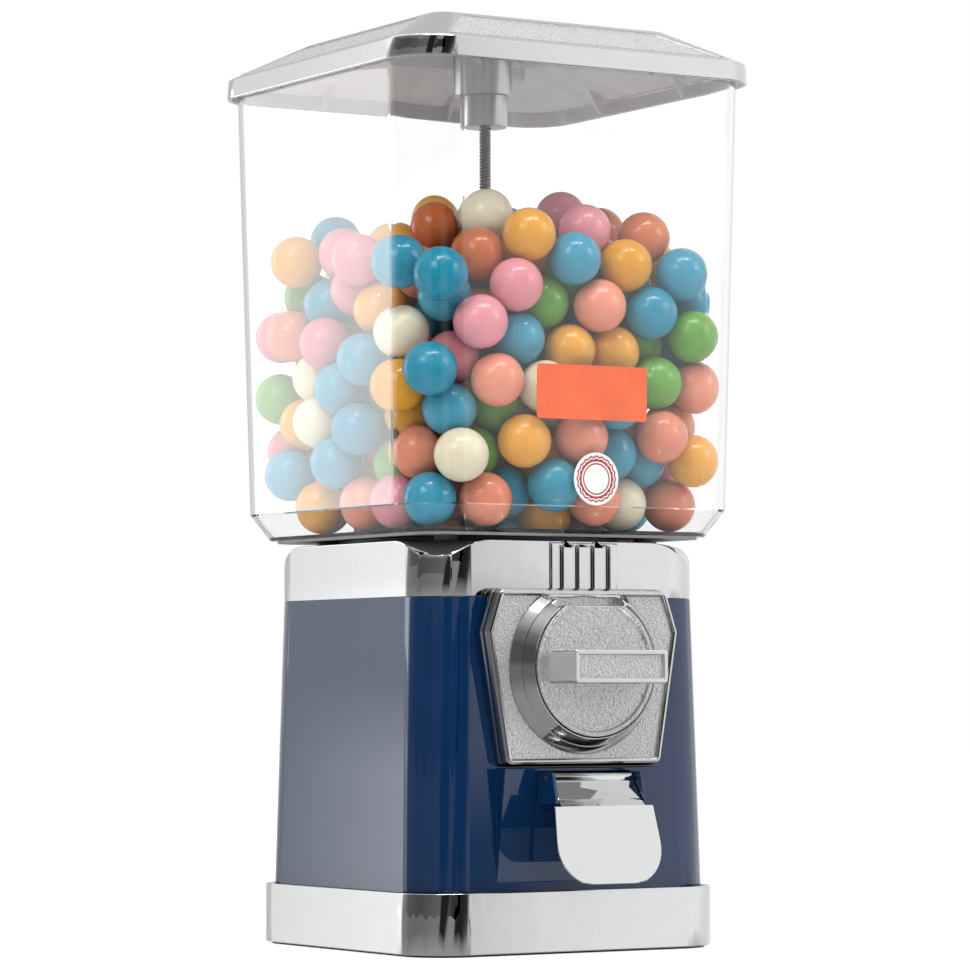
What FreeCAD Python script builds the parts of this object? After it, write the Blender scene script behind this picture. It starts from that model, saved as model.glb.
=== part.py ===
import FreeCAD, Part
import math
import os
import random
import re
import Sketcher

# Bulk gumball machine: square clear globe on a blue body with a coin mechanism.
# Millimetres, +Z up, front towards -Y, origin at the middle of the footprint.

Vector = FreeCAD.Vector

# Driving dimensions: name, value and what it measures.
DIMENSIONS = (
    ("sole_thick", 1.0, "rubber sole under the tray"),
    ("sole_inset", 3.0, "sole inside the skirt's outline"),
    ("sole_relief", 1.5, "sole clear of the stand bolts"),
    ("base_half", 82.9, "skirt half-width"),
    ("base_corner", 24.0, "skirt corner radius"),
    ("base_height", 28.7, "top of the skirt"),
    ("base_wall", 2.0, "skirt wall"),
    ("base_floor", 2.0, "tray floor thickness"),
    ("stand_bolt_radius", 3.3, "stand bolt hole"),
    ("stand_bolt_half", 40.0, "stand bolts from the middle"),
    ("shell_half_low", 79.8, "body half-width at its bottom edge"),
    ("shell_half_top", 75.9, "body half-width at its top edge"),
    ("shell_corner", 22.0, "body corner radius"),
    ("shell_wall", 1.4, "body sheet"),
    ("shell_top", 162.3, "top edge of the body"),
    ("lip_width", 6.5, "inward lip at the body's top"),
    ("panel_half", 42.5, "wedge panel half-width"),
    ("panel_proud", 8.0, "wedge panel reach at its top"),
    ("panel_gap", 1.9, "wedge panel below the faceplate"),
    ("collar_height", 25.9, "chrome collar"),
    ("collar_wall", 2.0, "collar wall and top plate"),
    ("roll_reach", 33.0, "rolled corner, along each face"),
    ("roll_drop", 10.5, "rolled corner, drop at the outer edge"),
    ("flute_pitch", 8.4, "fluted pad, spacing"),
    ("flute_width", 2.7, "fluted pad, groove width"),
    ("flute_side", 6.3, "fluted pad, its middle to the right of the knob axis"),
    ("flute_margin", 5.6, "fluted pad beyond its outer grooves"),
    ("flute_proud", 1.0, "fluted pad, reach from the collar"),
    ("flute_depth", 1.9, "fluted pad, groove depth"),
    ("flute_round", 0.8, "fluted pad, radius of its upright edges"),
    ("mouth_radius", 62.0, "opening from the globe to the hopper"),
    ("pad_radius", 5.5, "globe pad"),
    ("pad_place", 54.5, "globe pad centre from the middle"),
    ("globe_gap", 3.3, "collar to globe"),
    ("gasket_thick", 1.2, "gasket under the globe"),
    ("gasket_inset", 3.5, "gasket inside the globe's bottom edge"),
    ("neck_wall", 4.5, "ring round the hopper's mouth"),
    ("globe_half_low", 79.5, "globe half-width at its bottom"),
    ("globe_half_fold", 88.7, "globe half-width above the chamfer"),
    ("globe_half_top", 93.3, "globe half-width at its top"),
    ("globe_corner", 25.0, "globe corner radius"),
    ("globe_corner_low", 17.0, "globe corner radius at its bottom"),
    ("globe_chamfer", 12.5, "rise of the chamfer"),
    ("globe_height", 219.5, "globe, bottom to top edge"),
    ("globe_wall", 2.5, "globe wall"),
    ("rod_radius", 3.0, "threaded rod"),
    ("rod_drop", 30.0, "top of the rod below the lid's top"),
    ("rod_nut_flat", 5.0, "half across the flats of a rod nut"),
    ("rod_nut_thick", 5.0, "rod nut"),
    ("lid_overhang", 3.2, "lid rim beyond the globe's top edge"),
    ("lid_corner", 23.5, "lid rim corner radius"),
    ("lid_rim", 9.3, "height of the lid rim"),
    ("lid_overlap", 6.9, "rim below the lid's seat"),
    ("lid_wall", 2.0, "lid wall"),
    ("rim_draft", 0.4, "lid rim, draft over its height"),
    ("roof_rise", 16.3, "height of the hipped roof"),
    ("roof_run", 32.5, "lid rim to its flat top, along the ground"),
    ("roof_corner", 9.0, "corner radius of the lid's flat top"),
    ("panel_margin", 4.0, "pebbled roof panels from the rim and the flat top"),
    ("panel_hip", 22.0, "pebbled roof panels from the corners of the roof"),
    ("panel_depth", 0.6, "pebbled roof panels, sunk"),
    ("boss_radius", 13.0, "boss under the lid"),
    ("boss_drop", 27.5, "boss bottom below the lid's top"),
    ("barrel_radius", 10.5, "lock barrel"),
    ("barrel_drop", 42.2, "lock barrel bottom below the lid's top"),
    ("plug_radius", 7.5, "lock plug"),
    ("plug_length", 20.0, "lock plug"),
    ("fin_place", 36.0, "lid fin from the middle of its side"),
    ("fin_drop", 7.0, "lid fin below the seat"),
    ("rib_width", 2.4, "lid ribs and fins"),
    ("seat_gap", 0.3, "between pieces of different bodies"),
    ("bite", 1.0, "how far a cut or a joined form passes its face"),
    ("running_gap", 0.06, "radial clearance of a turning fit"),
    ("knob_height", 130.4, "knob axis above the ground"),
    ("plate_above", 34.8, "faceplate top above the knob axis"),
    ("plate_point", 16.0, "faceplate's widest level above the knob axis"),
    ("plate_below", 44.1, "faceplate bottom below the knob axis"),
    ("plate_half_top", 45.0, "faceplate half-width at its top"),
    ("plate_half_point", 51.2, "faceplate half-width at its widest"),
    ("plate_half_low", 41.3, "faceplate half-width at its bottom"),
    ("plate_thick", 8.3, "faceplate over its bead"),
    ("plate_corner", 3.0, "faceplate corner radius"),
    ("bead_width", 2.2, "bead borders"),
    ("bead_height", 1.1, "bead borders"),
    ("ring_base", 39.0, "coned ring radius at the faceplate"),
    ("ring_front", 35.2, "coned ring radius at its front"),
    ("ring_height", 6.5, "coned ring above the field"),
    ("knob_radius", 31.8, "knob disc"),
    ("knob_flat", 27.7, "coin flat above the knob axis"),
    ("knob_thick", 8.6, "knob disc"),
    ("knob_fit", 0.6, "knob inside the ring"),
    ("carrier_thick", 2.4, "coin carrier"),
    ("coin_radius", 12.3, "coin notch"),
    ("slot_half", 18.0, "half-width of the coin gap"),
    ("bar_half", 25.0, "handle half-length"),
    ("bar_width", 15.0, "handle width"),
    ("bar_height", 21.0, "handle above the knob disc"),
    ("bar_corner", 1.8, "handle corner radius"),
    ("shaft_radius", 4.0, "knob shaft"),
    ("mech_depth", 7.1, "faceplate back to the back plate"),
    ("mech_plate", 1.5, "back plate"),
    ("mech_half", 34.0, "back plate half-width"),
    ("mech_tall", 27.0, "back plate half-height"),
    ("post_radius", 3.0, "mechanism post"),
    ("stud_radius", 2.0, "mechanism stud"),
    ("post_side", 28.5, "post from the knob axis, sideways"),
    ("post_rise", 21.0, "post from the knob axis, upwards"),
    ("nut_flat", 3.5, "half across the flats of a stud nut"),
    ("nut_thick", 3.0, "stud nut"),
    ("ratchet_radius", 17.0, "ratchet wheel"),
    ("ratchet_depth", 2.6, "ratchet tooth"),
    ("ratchet_teeth", 12, "ratchet teeth"),
    ("ratchet_thick", 2.6, "ratchet wheel and pawl"),
    ("ratchet_back", 2.0, "ratchet in front of the back plate"),
    ("pawl_side", 24.0, "pawl pivot from the knob axis, sideways"),
    ("pawl_rise", 15.0, "pawl pivot from the knob axis, upwards"),
    ("pawl_eye", 3.6, "pawl eye"),
    ("pawl_pin_radius", 1.8, "pawl pin"),
    ("gear_module", 2.0, "gear teeth"),
    ("pinion_teeth", 10, "teeth of the pinion"),
    ("crown_teeth", 60, "teeth below the wheel"),
    ("gear_face", 6.0, "width of the teeth"),
    ("gear_backlash", 0.6, "play between the teeth"),
    ("gear_slope", 0.46631, "slope of a tooth's flank"),
    ("crown_reach", 1.4, "crown teeth past the pitch plane"),
    ("crown_root", 2.3, "crown root above the pitch plane"),
    ("pinion_reach", 1.8, "pinion teeth past the pitch circle"),
    ("pinion_root", 2.0, "pinion root below the pitch circle"),
    ("crown_rim", 2.5, "crown ring beyond its teeth"),
    ("crown_back", 3.5, "crown ring above its teeth"),
    ("wheel_thick", 26.0, "gumball wheel"),
    ("pocket_count", 6, "pockets of the wheel"),
    ("pocket_circle", 35.0, "pocket centres from the axis"),
    ("pocket_radius", 14.3, "wheel pocket"),
    ("hub_radius", 8.0, "pan hub"),
    ("hub_rise", 30.0, "pan hub above its floor"),
    ("pan_sheet", 2.0, "pan thickness"),
    ("pan_side_gap", 1.5, "round the crown ring"),
    ("trough_depth", 12.0, "pan trough below its floor"),
    ("outlet_radius", 15.5, "outlet in the pan floor"),
    ("hopper_wall", 2.0, "hopper ring"),
    ("guard_thick", 1.5, "ball guard"),
    ("guard_half", 18.0, "ball guard half-width"),
    ("guard_reach", 46.0, "ball guard, from the hopper wall"),
    ("guard_lift", 0.8, "ball guard above the wheel"),
    ("spout_half", 24.5, "spout half-width outside"),
    ("spout_wall", 1.5, "spout sheet"),
    ("spout_low", 45.0, "lip of the spout floor"),
    ("spout_back", 73.0, "inner end of the spout from the axis"),
    ("spout_rise", 9.0, "spout floor, rise to its inner end"),
    ("lug_low", 68.5, "bottom of the spout's lugs in front of the panel"),
    ("door_top", 67.5, "fold of the chute door"),
    ("door_bottom", 32.5, "bottom edge of the chute door"),
    ("door_reach", 101.0, "fold of the door from the axis"),
    ("door_lean", 0.24, "door lean, reach for each unit of drop"),
    ("door_half_top", 26.6, "door half-width at its fold"),
    ("door_half_low", 28.0, "door half-width near its bottom"),
    ("door_corner", 17.0, "door bottom corners"),
    ("door_sheet", 1.5, "door sheet"),
    ("leaf_in", 3.6, "door step behind the fold"),
    ("leaf_up", 3.0, "door step above the fold"),
    ("hinge_reach", 90.5, "door hinge from the axis"),
    ("hinge_height", 79.5, "door hinge above the ground"),
    ("hinge_pin", 1.5, "door hinge pin radius"),
    ("hinge_eye", 2.7, "door hinge eye radius"),
    ("chute_half", 20.4, "chute half-width outside"),
    ("chute_wall", 1.2, "chute sheet"),
    ("chute_back", 17.6, "chute back wall from the axis"),
    ("chute_front", 51.5, "drop tube's front from the axis"),
    ("chute_bend", 98.0, "bottom of the drop tube's front"),
    ("chute_floor", 77.0, "top end of the chute ramp"),
    ("ball_radius", 12.5, "gumball"),
    ("ball_gap", 0.35, "room between gumballs"),
    ("heap_below", 49.0, "gumballs at the rod, below the globe's top"),
    ("heap_fall", 21.0, "gumballs lower at the walls"),
)

# Gumball colours with their share of the filling.
COLOURS = (
    ("blue", 30),
    ("pink", 18),
    ("salmon", 13),
    ("orange", 9),
    ("yellow", 14),
    ("green", 11),
    ("cream", 5),
)

NAMES = {row[0] for row in DIMENSIONS}

doc = FreeCAD.newDocument("gumball_machine")
sheet = doc.addObject("Spreadsheet::Sheet", "dim")
for row, (alias, size, note) in enumerate(DIMENSIONS, start=1):
    sheet.set(f"A{row}", alias)
    sheet.set(f"B{row}", str(size))
    sheet.set(f"C{row}", note)
    sheet.setAlias(f"B{row}", alias)
doc.recompute()

nodes = []


# Formulas over the sheet

def bound(formula):
    """Formula with each dimension's name pointing at its cell."""
    return re.sub(r"[a-z_]+", lambda word: "dim." + word[0] if word[0] in NAMES else word[0], str(formula))


def value(formula):
    """Present value of a formula."""
    result = sheet.evalExpression(bound(formula))
    return float(getattr(result, "Value", result))


def bind(piece, **formulas):
    """Bind properties to formulas; a double underscore stands for a dot."""
    for prop, formula in formulas.items():
        piece.setExpression(prop.replace("__", "."), bound(formula))


def node(piece, label):
    """Keep an object as a sub-part of the machine."""
    piece.Label = label
    nodes.append(piece)
    return piece


# Derived places

TRAY_TOP = "(sole_thick + base_floor)"
COLLAR_TOP = "(shell_top + collar_height)"
GLOBE_BOTTOM = f"({COLLAR_TOP} + globe_gap)"
GLOBE_FLOOR = f"({GLOBE_BOTTOM} + globe_wall)"
GLOBE_FOLD = f"({GLOBE_BOTTOM} + globe_chamfer)"
GLOBE_TOP = f"({GLOBE_BOTTOM} + globe_height)"
LID_HALF = "(globe_half_top + lid_overhang)"
ROOF_HALF = f"({LID_HALF} - roof_run)"
LID_SEAT = f"({GLOBE_TOP} + seat_gap)"
LID_BOTTOM = f"({LID_SEAT} - lid_overlap)"
RIM_TOP = f"({LID_BOTTOM} + lid_rim)"
LID_TOP = f"({RIM_TOP} + roof_rise)"
ROD_TOP = f"({LID_TOP} - rod_drop)"
PLATE_BOTTOM = "(knob_height - plate_below)"
PANEL_TOP = f"({PLATE_BOTTOM} - panel_gap)"
PINION_PITCH = "(gear_module * pinion_teeth / 2)"
CROWN_PITCH = "(gear_module * crown_teeth / 2)"
PITCH_PLANE = f"(knob_height + {PINION_PITCH})"
WHEEL_BOTTOM = f"({PITCH_PLANE} + crown_root + crown_back)"
WHEEL_TOP = f"({WHEEL_BOTTOM} + wheel_thick)"
PAN_FLOOR = f"({WHEEL_BOTTOM} - seat_gap)"
CROWN_INNER = f"({CROWN_PITCH} - gear_face / 2 - crown_rim)"
CROWN_OUTER = f"({CROWN_PITCH} + gear_face / 2 + crown_rim)"
TROUGH_INNER = f"({CROWN_INNER} - pan_side_gap)"
TROUGH_OUTER = f"({CROWN_OUTER} + pan_side_gap)"
TROUGH_TOP = f"({PAN_FLOOR} - trough_depth + pan_sheet)"
GUARD_BOTTOM = f"({WHEEL_TOP} + guard_lift)"


def front_at(level):
    """Distance of the body's front from the axis at a height."""
    share = f"({level} - {TRAY_TOP}) / (shell_top - {TRAY_TOP})"
    return f"(shell_half_low + (shell_half_top - shell_half_low) * {share})"


def lean_at(level):
    """Distance of the chute door's inner face from the axis at a height."""
    return f"(door_reach + (door_top - {level}) * door_lean)"


PLATE_BACK = f"({front_at(PLATE_BOTTOM)} + seat_gap)"
PLATE_FIELD = f"({PLATE_BACK} + plate_thick - bead_height)"
CARRIER_BACK = f"({PLATE_FIELD} + seat_gap)"
KNOB_BACK = f"({CARRIER_BACK} + carrier_thick)"
KNOB_FACE = f"({KNOB_BACK} + knob_thick)"
MECH_FRONT = f"({PLATE_BACK} - mech_depth)"
MECH_BACK = f"({MECH_FRONT} - mech_plate)"


# Bodies, sketches and features

ROLES = {"top": "XY_Plane", "front": "XZ_Plane", "side": "YZ_Plane"}
SIGNS = ((1, 1), (-1, 1), (-1, -1), (1, -1))


def new_body(label, rise=None):
    """Body of one sub-part, its origin raised to a height where one is given."""
    made = doc.addObject("PartDesign::Body", label)
    if rise:
        bind(made, Placement__Base__z=rise)
    return node(made, label)


def origin_of(body, role):
    """Origin plane or axis of a body."""
    return next(part for part in body.Origin.OriginFeatures if part.Role == role)


def new_sketch(body, name, view, lift="0", turn=None):
    """Empty sketch on an origin plane of its body, lifted along the normal."""
    sketch = body.newObject("Sketcher::SketchObject", f"{body.Name}_{name}")
    sketch.AttachmentSupport = [(origin_of(body, ROLES[view]), "")]
    sketch.MapMode = "FlatFace"
    if turn:
        sketch.AttachmentOffset = FreeCAD.Placement(Vector(0, 0, 0), FreeCAD.Rotation(turn[0], turn[1]))
    bind(sketch, AttachmentOffset__Base__z=lift)
    return sketch


def place_point(sketch, item, end, across, along):
    """Hold a point of a sketch at two formulas."""
    for kind, formula in (("DistanceX", across), ("DistanceY", along)):
        rule = sketch.addConstraint(Sketcher.Constraint(kind, -1, 1, item, end, value(formula)))
        sketch.setExpression(f"Constraints[{rule}]", bound(formula))


def draw_outline(sketch, corners):
    """Closed run of straight edges through corners given as formulas."""
    points = [Vector(value(across), value(along), 0) for across, along in corners]
    first = sketch.GeometryCount
    count = len(points)
    for index in range(count):
        sketch.addGeometry(Part.LineSegment(points[index], points[(index + 1) % count]), False)
    for index, (across, along) in enumerate(corners):
        following = first + (index + 1) % count
        sketch.addConstraint(Sketcher.Constraint("Coincident", first + index, 2, following, 1))
        place_point(sketch, first + index, 1, across, along)
    return sketch


def draw_circle(sketch, across, along, radius):
    """Circle at two formulas."""
    centre = Vector(value(across), value(along), 0)
    item = sketch.addGeometry(Part.Circle(centre, Vector(0, 0, 1), value(radius)), False)
    place_point(sketch, item, 3, across, along)
    rule = sketch.addConstraint(Sketcher.Constraint("Radius", item, value(radius)))
    sketch.setExpression(f"Constraints[{rule}]", bound(radius))
    return sketch


def draw_rounded_square(sketch, half, corner):
    """Square about the origin with rounded corners."""
    half = f"({half})"
    inner = f"({half} - ({corner}))"
    reach = value(half)
    start = value(inner)
    radius = value(corner)
    for turn, (sign_x, sign_y) in enumerate(SIGNS):
        centre = Vector(sign_x * start, sign_y * start, 0)
        quarter = math.pi / 2
        circle = Part.Circle(centre, Vector(0, 0, 1), radius)
        sketch.addGeometry(Part.ArcOfCircle(circle, turn * quarter, (turn + 1) * quarter), False)
    sides = (((start, reach), (-start, reach)), ((-reach, start), (-reach, -start)),
             ((-start, -reach), (start, -reach)), ((reach, -start), (reach, start)))
    for tail, head in sides:
        sketch.addGeometry(Part.LineSegment(Vector(*tail, 0), Vector(*head, 0)), False)
    for turn in range(4):
        side = 4 + turn
        sketch.addConstraint(Sketcher.Constraint("Coincident", turn, 2, side, 1))
        sketch.addConstraint(Sketcher.Constraint("Coincident", side, 2, (turn + 1) % 4, 1))
    for turn, (sign_x, sign_y) in enumerate(SIGNS):
        place_point(sketch, turn, 3, f"{sign_x} * {inner}", f"{sign_y} * {inner}")
        if turn % 2 == 0:
            place_point(sketch, turn, 2, f"{sign_x} * {inner}", f"{sign_y} * {half}")
            sketch.addConstraint(Sketcher.Constraint("Horizontal", turn, 1, turn, 3))
        else:
            place_point(sketch, turn, 2, f"{sign_x} * {half}", f"{sign_y} * {inner}")
            sketch.addConstraint(Sketcher.Constraint("Vertical", turn, 1, turn, 3))
    return sketch


def outline(body, name, view, corners, lift="0", turn=None):
    """New sketch holding one outline."""
    return draw_outline(new_sketch(body, name, view, lift, turn), corners)


def circle(body, name, view, across, along, radius, lift="0"):
    """New sketch holding one circle."""
    return draw_circle(new_sketch(body, name, view, lift), across, along, radius)


def rounded_square(body, name, half, corner, lift):
    """New horizontal sketch of a rounded square at a height."""
    return draw_rounded_square(new_sketch(body, name, "top", lift), half, corner)


def rectangle(low_across, low_along, high_across, high_along):
    """Corners of an upright rectangle."""
    return ((low_across, low_along), (high_across, low_along),
            (high_across, high_along), (low_across, high_along))


def feature(body, kind, sketch, **formulas):
    """Feature of a body on a sketch."""
    made = body.newObject(f"PartDesign::{kind}", f"{sketch.Name}_{kind.lower()}")
    made.Profile = sketch
    bind(made, **formulas)
    return made


def pad(body, sketch, length, symmetric=False, reverse=False):
    """Pad along the sketch's normal."""
    made = feature(body, "Pad", sketch, Length=length)
    made.SideType = "Symmetric" if symmetric else "One side"
    made.Reversed = reverse
    return made


def pocket(body, sketch, length, symmetric=False, reverse=False):
    """Pocket against the sketch's normal; it must take something away."""
    doc.recompute()
    before = body.Shape.Volume
    made = feature(body, "Pocket", sketch, Length=length)
    made.SideType = "Symmetric" if symmetric else "One side"
    made.Reversed = reverse
    doc.recompute()
    if not body.Shape.Volume < before:
        raise RuntimeError(f"{made.Name} cuts nothing")
    return made


def revolve(body, sketch, axis):
    """Full turn about an axis of the sketch."""
    made = feature(body, "Revolution", sketch)
    made.ReferenceAxis = (sketch, [axis])
    made.Angle = 360
    return made


def loft(body, kind, sections):
    """Straight loft through sketches."""
    made = feature(body, kind, sections[0])
    made.Sections = sections[1:]
    made.Ruled = True
    return made


def around(body, originals, count, axis="Z_Axis"):
    """Copies of features about an axis of the body."""
    doc.recompute()
    made = body.newObject("PartDesign::PolarPattern", f"{originals[0].Name}_around")
    made.Originals = originals
    made.Axis = (origin_of(body, axis), [""])
    made.Angle = 360
    bind(made, Occurrences=count)
    body.Tip = made
    doc.recompute()
    return made


def fillet(body, radius, wanted):
    """Fillet on the edges of the body's tip that a test picks."""
    doc.recompute()
    tip = body.Tip
    edges = [f"Edge{number}" for number, edge in enumerate(tip.Shape.Edges, start=1) if wanted(edge)]
    made = body.newObject("PartDesign::Fillet", f"{tip.Name}_fillet")
    made.Base = (tip, edges)
    bind(made, Radius=radius)
    doc.recompute()
    return made


def runs_along(edge, direction):
    """Whether an edge is straight along a direction."""
    if not isinstance(edge.Curve, Part.Line):
        return False
    return abs(abs(edge.Curve.Direction.dot(direction)) - 1) < 1e-6


# Part primitives

def cylinder(name, radius, height, x="0", y="0", z="0", axis=None):
    """Cylinder from a base point, upright or along an axis."""
    made = doc.addObject("Part::Cylinder", name)
    bind(made, Radius=radius, Height=height)
    if axis:
        made.Placement.Rotation = FreeCAD.Rotation(Vector(0, 0, 1), axis)
    bind(made, Placement__Base__x=x, Placement__Base__y=y, Placement__Base__z=z)
    return made


def box(name, low, high):
    """Box between two corners."""
    made = doc.addObject("Part::Box", name)
    sizes = [f"({far}) - ({near})" for near, far in zip(low, high)]
    bind(made, Length=sizes[0], Width=sizes[1], Height=sizes[2])
    bind(made, Placement__Base__x=low[0], Placement__Base__y=low[1], Placement__Base__z=low[2])
    return made


def hexagon(name, flat, height, x="0", y="0", z="0", axis=None):
    """Hexagonal prism by the half-width across its flats."""
    made = doc.addObject("Part::Prism", name)
    made.Polygon = 6
    bind(made, Circumradius=f"{flat} * 2 / sqrt(3)", Height=height)
    if axis:
        made.Placement.Rotation = FreeCAD.Rotation(Vector(0, 0, 1), axis)
    bind(made, Placement__Base__x=x, Placement__Base__y=y, Placement__Base__z=z)
    return made


def cut(name, base, tool):
    """One piece less another."""
    made = doc.addObject("Part::Cut", name)
    made.Base = base
    made.Tool = tool
    return made


def fuse(name, pieces):
    """Pieces joined into one solid."""
    made = doc.addObject("Part::MultiFuse", name)
    made.Shapes = pieces
    return made


def group(label, pieces):
    """Separate solids that share a node."""
    made = doc.addObject("Part::Compound", label)
    made.Links = pieces
    return node(made, label)


FRONT = Vector(0, -1, 0)
RIGHT = Vector(1, 0, 0)


# Base, body and collar

def base_sole():
    body = new_body("base_sole")
    outer = rounded_square(body, "outer", "base_half - sole_inset", "base_corner - sole_inset", "0")
    pad(body, outer, "sole_thick")
    holes = new_sketch(body, "holes", "top", "sole_thick")
    for sign_x, sign_y in SIGNS:
        draw_circle(holes, f"{sign_x} * stand_bolt_half", f"{sign_y} * stand_bolt_half",
                    "stand_bolt_radius + sole_relief")
    pocket(body, holes, "sole_thick")


def base_tray():
    body = new_body("base_tray")
    outer = rounded_square(body, "outer", "base_half", "base_corner", "sole_thick")
    pad(body, outer, "base_height - sole_thick")
    well = rounded_square(body, "well", "base_half - base_wall", "base_corner - base_wall", "base_height")
    pocket(body, well, f"base_height - {TRAY_TOP}")
    holes = circle(body, "holes", "top", "0", "0", "rod_radius", TRAY_TOP)
    for sign_x, sign_y in SIGNS:
        draw_circle(holes, f"{sign_x} * stand_bolt_half", f"{sign_y} * stand_bolt_half", "stand_bolt_radius")
    pocket(body, holes, "base_floor")


def body_shell():
    body = new_body("body_shell")
    lip = "shell_top - shell_wall"
    inner_corner = "shell_corner - shell_wall"
    loft(body, "AdditiveLoft", [
        rounded_square(body, "low", "shell_half_low", "shell_corner", TRAY_TOP),
        rounded_square(body, "top", "shell_half_top", "shell_corner", "shell_top")])
    front_low = front_at("base_height")
    front_top = front_at(PANEL_TOP)
    wedge = outline(body, "wedge", "side", (
        (f"-({front_low} - shell_wall / 2)", "base_height"),
        (f"-({front_top} + panel_proud)", PANEL_TOP),
        (f"-({front_top} - shell_wall / 2)", PANEL_TOP)))
    pad(body, wedge, "2 * panel_half", symmetric=True)
    loft(body, "SubtractiveLoft", [
        rounded_square(body, "low_inside", "shell_half_low - shell_wall", inner_corner, TRAY_TOP),
        rounded_square(body, "top_inside", "shell_half_top - shell_wall", inner_corner, lip)])
    pocket(body, rounded_square(body, "mouth", "shell_half_top - lip_width", "shell_corner - lip_width",
                                "shell_top"), "shell_wall * 2")
    hollow = outline(body, "wedge_inside", "side", (
        (f"-({front_low} - shell_wall * 2)", "base_height + shell_wall * 6"),
        (f"-({front_top} + panel_proud - shell_wall)", f"{PANEL_TOP} - shell_wall"),
        (f"-({front_top} - shell_wall * 3)", f"{PANEL_TOP} - shell_wall")))
    pocket(body, hollow, "2 * (panel_half - shell_wall)", symmetric=True)
    mouth = rectangle("-(spout_half + seat_gap)", "spout_low - seat_gap",
                      "spout_half + seat_gap", f"{PANEL_TOP} - shell_wall")
    spout_hole = outline(body, "spout_hole", "front", mouth, f"{PLATE_BACK} + panel_proud * 2")
    pocket(body, spout_hole, "panel_proud * 4")
    window = rectangle("-mech_half", "knob_height - mech_tall", "mech_half", "knob_height + mech_tall")
    pocket(body, outline(body, "window", "front", window, f"{front_at('knob_height')} + shell_wall * 2"),
           "shell_wall * 6")


def collar():
    body = new_body("collar")
    solid_from = f"({COLLAR_TOP} - roll_drop - collar_wall)"
    pad(body, rounded_square(body, "outer", "shell_half_top", "shell_corner", "shell_top"), "collar_height")
    pad_half = "(flute_pitch * 1.5 + flute_margin)"
    pad_face = rectangle(f"flute_side - {pad_half}", "shell_top", f"flute_side + {pad_half}",
                         f"{COLLAR_TOP} - collar_wall / 2")
    fluted = outline(body, "fluted_pad", "front", pad_face, "shell_half_top - collar_wall / 2")
    pad(body, fluted, "flute_proud + collar_wall / 2")
    fillet(body, "flute_round", lambda edge: runs_along(edge, Vector(0, 0, 1))
           and edge.CenterOfMass.y < -value("shell_half_top + flute_proud / 2"))
    pocket(body, rounded_square(body, "cavity", "shell_half_top - collar_wall", "shell_corner - collar_wall",
                                "shell_top"), f"{solid_from} - shell_top", reverse=True)
    pocket(body, circle(body, "crown", "top", "0", "0", "mouth_radius + hopper_wall * 4", solid_from),
           f"{COLLAR_TOP} - collar_wall - {solid_from}", reverse=True)
    pocket(body, circle(body, "mouth", "top", "0", "0", "mouth_radius", COLLAR_TOP), "collar_wall * 2")
    pad_front = "shell_half_top + flute_proud"
    flutes = new_sketch(body, "flutes", "front", pad_front)
    flute_tops = new_sketch(body, "flute_tops", "front", pad_front)
    flute_top = f"({COLLAR_TOP} - collar_wall - flute_width / 2)"
    for step in (-1.5, -0.5, 0.5, 1.5):
        middle = f"(flute_side + {step} * flute_pitch)"
        draw_outline(flutes, rectangle(f"{middle} - flute_width / 2", "shell_top - bite",
                                       f"{middle} + flute_width / 2", flute_top))
        draw_circle(flute_tops, middle, flute_top, "flute_width / 2")
    pocket(body, flutes, "flute_depth")
    pocket(body, flute_tops, "flute_depth")
    # Each corner rolls down along an arc that starts level inside the corner.
    diagonal = "(shell_half_top * sqrt(2))"
    start = f"({diagonal} - roll_reach / sqrt(2))"
    reach = "(roll_reach / sqrt(2) - shell_corner * (sqrt(2) - 1))"
    bend = f"(({reach} * {reach} + roll_drop * roll_drop) / (2 * roll_drop))"
    roll = new_sketch(body, "roll", "front", "0", (Vector(0, 1, 0), 45))
    centre = Vector(value(start), value(f"{COLLAR_TOP} - {bend}"), 0)
    arc = Part.ArcOfCircle(Part.Circle(centre, Vector(0, 0, 1), value(bend)), 0.0, math.pi / 2)
    roll.addGeometry(arc, False)
    corner = (value(f"{start} + {bend}"), value(COLLAR_TOP))
    roll.addGeometry(Part.LineSegment(Vector(centre.x, corner[1], 0), Vector(*corner, 0)), False)
    roll.addGeometry(Part.LineSegment(Vector(*corner, 0), Vector(corner[0], centre.y, 0)), False)
    roll.addConstraint(Sketcher.Constraint("Coincident", 0, 2, 1, 1))
    roll.addConstraint(Sketcher.Constraint("Coincident", 1, 2, 2, 1))
    roll.addConstraint(Sketcher.Constraint("Coincident", 2, 2, 0, 1))
    roll.addConstraint(Sketcher.Constraint("Horizontal", 1))
    roll.addConstraint(Sketcher.Constraint("Vertical", 2))
    roll.addConstraint(Sketcher.Constraint("Vertical", 0, 2, 0, 3))
    place_point(roll, 0, 3, start, f"{COLLAR_TOP} - {bend}")
    place_point(roll, 0, 1, f"{start} + {bend}", f"{COLLAR_TOP} - {bend}")
    rolled = pocket(body, roll, "shell_half_top * 2", symmetric=True)
    around(body, [rolled], "4")


# Hopper and wheel

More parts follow.
